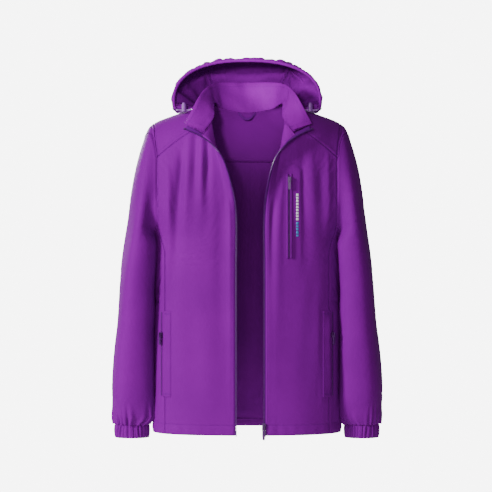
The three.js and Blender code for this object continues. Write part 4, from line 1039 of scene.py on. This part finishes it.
def make_cuff(name):
    sign = SIDES[name]["sign"]
    middle = sign * (SLEEVE_OUTER[-1][0] + SLEEVE_INNER[-1][0]) / 2
    seed = 81 if sign < 0 else 82
    for kind, inset, depth in (("cuff", 0.0, 1.0), ("cuff_elastic", 2.6, 0.35)):
        phi, t = np.meshgrid(np.linspace(0, TAU, 241)[:-1], np.linspace(0, 1, 17))
        z = lerp(CUFF_TOP + 1.5, CUFF_TOP - CUFF_HEIGHT + 0.4, t)
        slant = phi + 0.09 * np.sin(3 * phi + seed) * t + 0.03 * np.sin(7 * phi) * np.sin(math.pi * t)
        ribs = waves(slant, 10, 17, 34, seed) + 0.5 * waves(slant + 0.02 * t, 4, 34, 52, seed + 3)
        ribs = 1.5 * depth * ribs * (0.55 + 0.45 * np.sin(math.pi * t))
        ribs -= 0.7 * depth * (np.exp(-((t - 0.08) / 0.05) ** 2) + np.exp(-((t - 0.93) / 0.05) ** 2))
        swell = 0.8 * np.sin(math.pi * t)
        half_x = 34.0 - inset + swell + ribs
        half_y = 29.0 - inset + swell + ribs
        points = vec(middle + sign * half_x * np.cos(phi), MID_Y - half_y * np.sin(phi), z)
        piece = sheet_object(f"{kind}_{name}", points, SHELL_FINE if inset == 0 else ELASTIC, -sign, True)
        own(piece, f"sleeve_{name}_arm", "shell_fabric" if inset == 0 else "elastic", f"{kind}_{name}")


# ---- hood --------------------------------------------------------------------
HOOD_TOP = 104.0
HOOD_DEPTH = 122.0
HOOD_PROFILE = [[MID_Y - 8, HOOD_TOP], [-10, HOOD_TOP + 8], [48, HOOD_TOP - 2], [92, 70], [HOOD_DEPTH - 6, 36],
                [HOOD_DEPTH - 14, 10], [62, 4], [5, 4]]
HOOD_WIDTH = [152, 151, 143, 130, 116, 102, 90, 76]
HOOD_POWER = 2 / 2.4
HEM_ROUND = CORD_RADIUS + 1 + 0.8
HEM_END = 0.93


def hood_point(u, v):
    u, v = np.broadcast_arrays(np.asarray(u, float), np.asarray(v, float))
    middle = spline(HOOD_PROFILE, v)
    angle = u * np.radians(lerp(115, 90, smooth((v - 0.15) / 0.6)))
    x = spline(HOOD_WIDTH, v)[..., 0] * np.sign(angle) * np.abs(np.sin(angle)) ** HOOD_POWER
    rise = np.sign(np.cos(angle)) * np.abs(np.cos(angle)) ** HOOD_POWER
    y = lerp(lerp(MID_Y - 26, MID_Y + 1, v), middle[..., 0], np.maximum(0, rise))
    foot = lerp(14, ridge_z(SIDES["left"]["neck"]) + 3, v)
    z = lerp(foot, middle[..., 1], np.where(rise < 0, 0.45 * rise, rise))
    return vec(x, y, z)


def rim_frame(u):
    d = 1e-3
    at = hood_point(u, 0)
    ahead = unit(hood_point(np.minimum(1, u + d), 0) - hood_point(np.maximum(-1, u - d), 0))
    inward = hood_point(u, 0.02) - at
    inward = unit(inward - ahead * np.sum(inward * ahead, -1, keepdims=True))
    return at, inward, unit(np.cross(ahead, inward))


def hood_rest(points, u, v):
    """Lets the hood's lower edge down on the shoulder, where the CAD's stands clear of it."""
    edge = hood_point(np.sign(u), v)
    drop = np.maximum(0, edge[..., 2] - ridge_z(edge[..., 0]) - lerp(-2.0, 1.2, smooth(v)))
    return points - vec(0, 0, 1) * (drop * smooth((np.abs(u) - 0.78) / 0.22))[..., None]


def hood_folds(u, v, points):
    """Gathers behind the rim at the crown, and creases down both sides."""
    crown = np.exp(-(u / 0.36) ** 4)
    ragged = 0.2 + 0.1 * waves(u * 12, 5, 1, 5, 91)
    gathers = waves(u * 14, 8, 3, 12, 92) * np.exp(-np.maximum(v - 0.05, 0) / np.maximum(ragged, 0.03))
    side = np.exp(-((np.abs(u) - 0.72) / 0.26) ** 4)
    creases = waves(u * 7 + 1.4 * v, 5, 2, 6, 93) * smooth(v / 0.1) * np.exp(-((v - 0.3) / 0.3) ** 2)
    slack = drift(points[..., 0], points[..., 2] * 1.5, 70, 95)
    return 3.4 * gathers * (0.25 + 0.75 * crown) + 2.4 * creases * side + 2.0 * slack * smooth(v / 0.2)


def make_hood():
    levels = np.concatenate([np.linspace(0.012, 0.3, 56), np.linspace(0.31, 1, 44)])
    parts = (("hood_side_right", -1, -0.3), ("hood_centre", -0.3, 0.3), ("hood_side_left", 0.3, 1))
    for name, low, high in parts:
        u, v = np.meshgrid(lerp(low, high, dense(60)), levels)
        points = hood_rest(hood_point(u, v), u, v)
        _, seam, up, to_top = margins(points)
        height = hood_folds(u, v, points) * smooth(up / 10) * smooth(to_top / 30)
        height = height * smooth((seam + 4) / 12) + seam_profile(seam)
        points = points + grid_normals(points) * height[..., None]
        points = settle(points, np.maximum(border_pins(points, 12), 0.03), excess=0.01, cap=4)
        piece = sheet_object(name, points, SHELL, 1)
        own(piece, "hood", "shell_fabric", name)
        normals = grid_normals(points)
        for column in {"hood_centre": (3, -4)}.get(name, ()):
            HOOD_STITCHES.row(points[:, column], normals[:, column])
            HOOD_STITCHES.row(points[:, column] - normals[:, column] * (THIN + 0.1), -normals[:, column])


def hem_grid(u, a):
    at, inward, out = rim_frame(u)
    flat = np.where(a < 0.5, lerp(HOOD_HEM_WIDTH, HEM_ROUND, a / 0.35),
                    lerp(HEM_ROUND, HOOD_HEM_WIDTH, (a - 0.65) / 0.35))
    turn = math.pi * np.clip((a - 0.35) / 0.3, 0, 1)
    bent = (a > 0.35) & (a < 0.65)
    reach = np.where(bent, HEM_ROUND - HEM_ROUND * np.sin(turn), flat)
    lift = -HEM_ROUND + HEM_ROUND * np.cos(turn)
    return at + inward * reach[..., None] + out * lift[..., None]


def make_hood_hem():
    levels = [np.linspace(0, 0.35, 12), np.linspace(0.37, 0.63, 14), np.linspace(0.65, 1, 12)]
    u, a = np.meshgrid(np.linspace(-HEM_END, HEM_END, 420), np.concatenate(levels))
    points = hem_grid(u, a)
    normals = -grid_normals(points)
    belly = np.sin(math.pi * np.clip(np.where(a < 0.5, a / 0.35, (1 - a) / 0.35), 0, 1))
    gathers = waves(u * 26, 10, 3, 14, 97)
    crown = 0.35 + 0.65 * np.exp(-(u / 0.5) ** 4)
    points = points + normals * (0.75 * gathers * crown * (0.3 + belly))[..., None]
    piece = sheet_object("hood_hem", points, SHELL_FINE, -1, thickness=0.6)
    own(piece, "hood", "shell_fabric", "hood_hem")
    normals = -grid_normals(points)
    for row in (2, -3):
        HOOD_STITCHES.row(points[row], normals[row], lift=0.2)


def cord_point(u):
    at, inward, out = rim_frame(np.asarray(u, float))
    return at + inward * (HEM_ROUND + 1.5) - out * (HEM_ROUND + 0.05)


LOCK_AT = vec(127, MID_Y - 42, 2)


def cord_tail(sign):
    lock = LOCK_AT * vec(sign, 1, 1) + vec(0, 0, -4.5)
    anchor = hood_point(sign, 0.3)
    steps = [lock + vec(sign * step, 0, 0) for step in (14, 7, 0, -7, -13)]
    return steps + [anchor + vec(sign * 2, -9, -4), anchor + vec(sign * 2, 0, -4)]


def tube(name, route, radius, material, per=6, sides=12):
    route = np.asarray(route)
    t = np.linspace(0, 1, per * (len(route) - 1) + 1)
    line = spline(route, t)
    way = unit(np.gradient(line, axis=0))
    up = unit(np.cross(way, vec(0.31, 0.17, 0.94)))
    other = np.cross(way, up)
    turn = np.linspace(0, TAU, sides + 1)[:-1]
    ring = up[:, None] * np.cos(turn)[None, :, None] + other[:, None] * np.sin(turn)[None, :, None]
    points = line[:, None] + ring * radius
    tips = line[[0, -1], None] + 0.2 * ring[[0, -1]] * radius
    points = np.concatenate([tips[:1], points, tips[1:]])
    return sheet_object(name, points, material, -1, True, 0)


def make_drawcord():
    channel = [cord_point(HEM_END * k / 8) for k in range(-8, 9)]
    route = cord_tail(-1)[::-1] + [cord_point(-0.965)] + channel + [cord_point(0.965)] + cord_tail(1)
    own(tube("hood_drawcord", route, CORD_RADIUS, CORD), "hood", "cord", "hood_drawcord")
    turn = np.linspace(0, TAU, 33)[:-1]
    for sign, name in ((-1, "right"), (1, "left")):
        at, inward, out = rim_frame(np.float64(sign * 0.9))
        ahead = np.cross(inward, out)
        centre = at + inward * 9 + out * 0.9
        rings = []
        for radius, lift in ((3.6, -0.6), (3.6, 0.5), (3.1, 1.0), (2.4, 1.0), (1.9, 0.4), (1.9, -0.8)):
            circle = inward * np.cos(turn)[:, None] + ahead * np.sin(turn)[:, None]
            rings.append(centre + circle * radius + out * lift)
        eyelet = sheet_object(f"hood_eyelet_{name}", np.array(rings), BRIGHT, 1, True, 0)
        own(eyelet, "hood", "zip_metal")


# ---- zips --------------------------------------------------------------------
LAPEL_PART = 0.9


def zip_point(across, t, side):
    across, t = np.broadcast_arrays(np.asarray(across, float), np.asarray(t, float))
    low = lapel_point(across, np.clip(t / LAPEL_PART, 0, 1), side)
    up = np.clip((t - LAPEL_PART) / (1 - LAPEL_PART), 0, 1)
    near, far = (0.0, 0.05) if side["sign"] < 0 else (1.0, 0.95)
    end = collar_point(np.full_like(up, near), up)
    inward = unit(collar_point(np.full_like(up, far), up) - end)
    onward = end + inward * across[..., None]
    start = lapel_point(across, np.ones_like(up), side)
    return np.where((t <= LAPEL_PART)[..., None], low, lerp(start, onward, smooth(up / 0.35)[..., None]))


ZIP_FOOT = LAPEL_PART * (10.5 + ZIP_GAP) / (8 * (EDGE_KEYS[1][1] - HEM_Z))
TOOTH_PITCH = 2.6
TOOTH = [(-1.6, 0.55, 0.75), (-0.9, 0.75, 1.1), (0.3, 0.42, 1.1), (1.5, 0.72, 1.2), (1.5, 0.72, 1.2)]


def make_zip(name):
    side = SIDES[name]
    sign = side["sign"]
    across, t = np.meshgrid(np.linspace(2.0, EDGE_CLOTH + 1.2, 6), np.linspace(ZIP_FOOT, 0.985, 220))
    points = zip_point(across, t, side)
    normals = sign * grid_normals(points)
    points = points - normals * 0.7
    tape = sheet_object(f"zip_tape_{name}", points, TAPE, sign, thickness=0.8)
    own(tape, "root", "tape_fabric", f"zip_tape_{name}")
    BODY_STITCHES.row(points[:, 4], normals[:, 4], lift=0.25)
    across, t = np.meshgrid(np.linspace(0.3, 7.5, 5), np.linspace(0.0008, ZIP_FOOT - 0.0002, 7))
    tab = zip_point(across, t, side)
    tab = tab - sign * grid_normals(tab) * 0.2
    own(sheet_object(f"zip_end_tab_{name}", tab, TEETH, sign, thickness=0.9), "root", "zip_plastic")
    fine = np.linspace(ZIP_FOOT, 0.985, 1600)
    line = zip_point(1.55, fine, side)
    reach = along(line[None], 1)[0]
    where = np.arange(1.0, reach[-1] - 1.0, TOOTH_PITCH)
    at = np.interp(where, reach, fine)
    middle = zip_point(1.55, at, side)
    over = unit(zip_point(3, at, side) - zip_point(0, at, side))
    ahead = unit(zip_point(1.55, at + 2e-4, side) - middle)
    out = sign * unit(np.cross(over, ahead))
    middle = middle - out * 1.0
    verts = []
    for place, half, thick in TOOTH:
        for p, q in ((-1, -1), (1, -1), (1, 1), (-1, 1)):
            verts.append(middle - over * place * 0.98 + ahead * p * half + out * q * thick)
    block = np.stack(verts, 1)
    rings = len(TOOTH)
    faces = [tuple(4 * rings * n + c for c in face) for n in range(len(at)) for face in prism_faces(rings)]
    teeth = mesh_object(f"zip_teeth_{name}", block.reshape(-1, 3), faces, TEETH)
    teeth.data.polygons.foreach_set("use_smooth", [False] * len(teeth.data.polygons))
    own(teeth, "root", "zip_plastic", f"zip_teeth_{name}")


def cloth_hit(name, x, z):
    """The place and outward way of a front's cloth, straight behind (x, z)."""
    found, place, normal, _ = BODY_SETTLED[name].ray_cast((x * MM, -0.4, z * MM), (0, 1, 0))
    if not found:
        return body_point(np.float64(x), np.float64(z), -1), vec(0, -1, 0)
    normal = np.array(normal)
    return np.array(place) / MM, normal * (-1 if normal[1] > 0 else 1)


def coil(name, lines, outs):
    """A pocket zip's coil: close small loops, one across the zip at each line."""
    stitches = Stitches(name, TEETH)
    for line, out in zip(lines, outs):
        stitches.row(line, np.repeat(out[None], 3, 0), pitch=1.6, length=1.9, radius=0.5, lift=0)
    own(stitches.make(), "root", "zip_plastic", name)


def lip(name, middle, z, face):
    """A narrow fold of cloth beside the chest zip: a crowned strip with both edges sewn down."""
    grid_s, grid_z = np.meshgrid(np.linspace(-1, 1, 9), z)
    x = middle + 1.9 * grid_s
    ends = smooth((grid_z - z.min()) / 5) * smooth((z.max() - grid_z) / 5)
    base = np.minimum(body_point(x, grid_z, -1)[..., 1], face)
    y = base - 0.2 - 1.7 * (1 - grid_s ** 2) ** 0.6 * (0.35 + 0.65 * ends)
    return own(sheet_object(name, vec(x, y, grid_z), SHELL_FINE, thickness=0.5), "root", "shell_fabric")


def make_hand_pocket(name):
    side = SIDES[name]
    sign = side["sign"]
    bottom = HAND_ZIP_TOP - HAND_ZIP_LENGTH
    share, z = np.meshgrid(np.linspace(0, 1, 19), np.linspace(bottom - 2, HAND_ZIP_TOP + 2, 74))
    wander = 1.6 * np.sin((z - bottom) / 34 + (0.4 if sign < 0 else 1.3))
    x = lerp(HAND_ZIP_X - 19.5, HAND_ZIP_X - 3.6, share) + wander * np.sin(math.pi * share * 0.5) * 0.5
    ends = smooth((z - bottom) / 26) * smooth((HAND_ZIP_TOP - z) / 26)
    crown = share ** 1.5 * (1 - share ** 12) * (0.8 + 2.2 * ends)
    crown += 0.5 * waves(z / 22, 5, 1, 4, 101 + sign) * share
    points = body_point(sign * x, z, -1)
    normals = sign * grid_normals(points)
    points = points + normals * (0.45 * smooth(share / 0.1) + crown)[..., None]
    welt = sheet_object(f"hand_welt_{name}", points, SHELL, sign, thickness=0.9)
    own(welt, "root", "shell_fabric", f"hand_welt_{name}")
    normals = sign * grid_normals(points)
    BODY_STITCHES.row(points[2:-2, 2], normals[2:-2, 2], lift=0.2)
    for row in (2, 3, -3, -4):
        BODY_STITCHES.row(points[row, 1:-1], normals[row, 1:-1], pitch=1.7, length=2.2, radius=0.3,
                          lift=0.2)
    at = np.arange(bottom + 1, HAND_ZIP_TOP, 1.5)
    base = body_point(np.full_like(at, sign * HAND_ZIP_X), at, -1)
    far, near = (body_point(np.full_like(at, HAND_ZIP_X + step), at, -1) for step in (1.0, -1.0))
    way = far - near
    way = unit(way * vec(sign, 1, 1))
    out = unit(np.cross(way, vec(0, 0, 1)) * sign)
    lines = np.stack([base + out * 1.1 + way * w for w in (-1.7, 0, 1.7)], 1)
    coil(f"hand_zip_coil_{name}", lines, out)
    share, z = np.meshgrid(np.linspace(0, 1, 24), np.linspace(bottom - 40, HAND_ZIP_TOP + 6, 30))
    slack = 5.4 + 5 * np.sin(math.pi * share) * np.sin(math.pi * (z - bottom + 40) / (HAND_ZIP_LENGTH + 46))
    slack += 0.8 * drift(share * 130, z, 50, 103)
    points = body_point(sign * lerp(PRINCESS_X - 130, PRINCESS_X - 3, share), z, -1) + vec(0, slack, 0)
    bag = sheet_object(f"hand_pocket_bag_{name}", points, INNER, sign, thickness=0.4)
    own(bag, "root", "inner_fabric", f"hand_pocket_bag_{name}")


def make_chest_pocket():
    face = min(float(body_point(np.float64(CHEST_ZIP_X), np.float64(CHEST_ZIP_TOP), -1)[1]),
               float(body_point(np.float64(CHEST_ZIP_X), np.float64(-200.0), -1)[1]))
    bottom = CHEST_ZIP_TOP - CHEST_ZIP_LENGTH
    at = np.arange(bottom + 1, CHEST_ZIP_TOP, 1.5)
    across = np.array([(-1.75, 0), (0, -0.25), (1.75, 0)])
    lines = vec(CHEST_ZIP_X + across[:, 0], face - 1.5 + across[:, 1], at[:, None])
    coil("chest_zip_coil", lines, np.repeat(vec(0, -1, 0)[None], len(at), 0))
    z = np.linspace(bottom - 3, CHEST_ZIP_TOP + 3, 66)
    for name, shift in (("inner", -3.7), ("outer", 3.7)):
        strip = lip(f"chest_lip_{name}", CHEST_ZIP_X + shift, z, face)
        points = np.array([v.co for v in strip.data.vertices]).reshape(len(z), 9, 3) / MM
        BODY_STITCHES.row(points[:, 4], np.repeat(vec(0, -1, 0)[None], len(z), 0))
    share, z = np.meshgrid(np.linspace(0, 1, 20), np.linspace(CHEST_ZIP_TOP - 190, CHEST_ZIP_TOP, 34))
    slack = 5.4 + 4 * np.sin(math.pi * share) * np.sin(math.pi * (z - CHEST_ZIP_TOP + 190) / 190)
    points = body_point(lerp(CHEST_ZIP_X - 6, CHEST_ZIP_X + 84, share), z, -1) + vec(0, slack, 0)
    bag = sheet_object("chest_pocket_bag", points, INNER, 1, thickness=0.4)
    own(bag, "root", "inner_fabric", "chest_pocket_bag")


def make_print():
    """A plain row of small bars beside the chest zip: white above, blue below."""
    marks = {"white": (PRINT_WHITE, []), "blue": (PRINT_BLUE, [])}
    z = -172.0
    for k in range(14):
        tall = (5.2, 3.6, 4.6)[k % 3]
        kind = "white" if k < 9 else "blue"
        marks[kind][1].append((z, tall))
        z -= tall + (1.6 if k != 8 else 3.4)
    for kind, (material, rows) in marks.items():
        verts, faces = [], []
        for top, tall in rows:
            for height in (top, top - tall):
                for x in (97.6, 99.2, 100.8, 102.4):
                    place, normal = cloth_hit("left", x, height)
                    verts.append(place + normal * 0.35)
            base = len(verts) - 8
            faces.extend((base + k, base + k + 4, base + k + 5, base + k + 1) for k in range(3))
        obj = mesh_object(f"print_bars_{kind}", np.array(verts), faces, material)
        thick = obj.modifiers.new("thickness", "SOLIDIFY")
        thick.thickness = 0.2 * MM
        thick.offset = 0
        own(obj, "root", "shell_fabric")


# ---- hem, loop ---------------------------------------------------------------
def make_hem_facing():
    start = math.acos(((20 + 60) / BODY_HALF_WIDTH) ** (SECTION_POWER / 2))
    end = math.acos(((32 + 60) / BODY_HALF_WIDTH) ** (SECTION_POWER / 2))
    angle, b = np.meshgrid(np.linspace(math.pi + start, -end, 260), np.linspace(0, 1, 10))
    c, s = np.cos(angle), np.sin(angle)
    power = 2 / SECTION_POWER
    x = BODY_HALF_WIDTH * np.sign(c) * np.abs(c) ** power
    y = BODY_HALF_DEPTH * np.sign(s) * np.abs(s) ** power
    points = vec(x, MID_Y + y, lerp(HEM_Z + 0.2, HEM_Z + 26, b))
    normals = grid_normals(points)
    outward = np.sign(np.sum(normals[5, 130] * vec(0, 1, 0)))
    depth = 0.5 + 2.2 * smooth(b / 0.3) + 0.3 * waves(x / 40, 5, 2, 8, 111)
    points = points - outward * normals * depth[..., None]
    facing = sheet_object("hem_facing", points, INNER, -outward, thickness=0.5)
    own(facing, "root", "inner_fabric", "hem_facing")


def make_hang_loop():
    t, b = np.meshgrid(np.linspace(0, 1, 49), np.linspace(-1, 1, 7))
    bow = np.sin(math.pi * t)
    y = -5.7 - 3 * bow + 0.25 * np.cos(math.pi * b)
    points = vec(lerp(-18, 18, t), y, -13 * bow - 1 + 2.5 * b)
    own(sheet_object("hang_loop", points, TAPE, 1, thickness=0.9), "root", "tape_fabric", "hang_loop")


def finish_cad():
    """Better materials for the hard CAD parts that show as they are."""
    looks = {"zip_slider": METAL, "zip_puller": METAL, "zip_retainer_box": TEETH, "zip_insert_pin": TEETH,
             "chest_zip_slider": METAL, "chest_zip_puller": METAL}
    for name in SIDES:
        looks[f"zip_top_stop_{name}"] = METAL
        looks[f"hand_zip_slider_{name}"] = METAL
        looks[f"hand_zip_puller_{name}"] = METAL
        looks[f"cord_lock_body_{name}"] = LOCK
        looks[f"cord_lock_button_{name}"] = LOCK
    for node, material in looks.items():
        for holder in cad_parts[node].material_slots:
            holder.material = material


make_camera()
make_studio()
make_floor()
for which in SIDES:
    make_front(which)
    make_side(which)
    make_shoulder_yoke(which)
    make_sleeve(which)
    make_armhole_seam(which)
    make_cuff(which)
    make_zip(which)
    make_hand_pocket(which)
make_back()
make_back_yoke()
make_collar()
make_hood()
make_hood_hem()
make_drawcord()
make_chest_pocket()
make_print()
make_hem_facing()
make_hang_loop()
for stitches in (BODY_STITCHES, HOOD_STITCHES):
    own(stitches.make(), "hood" if stitches is HOOD_STITCHES else "root", "shell_fabric")
finish_cad()
bpy.data.materials.remove(PLAIN)

bpy.context.view_layer.update()
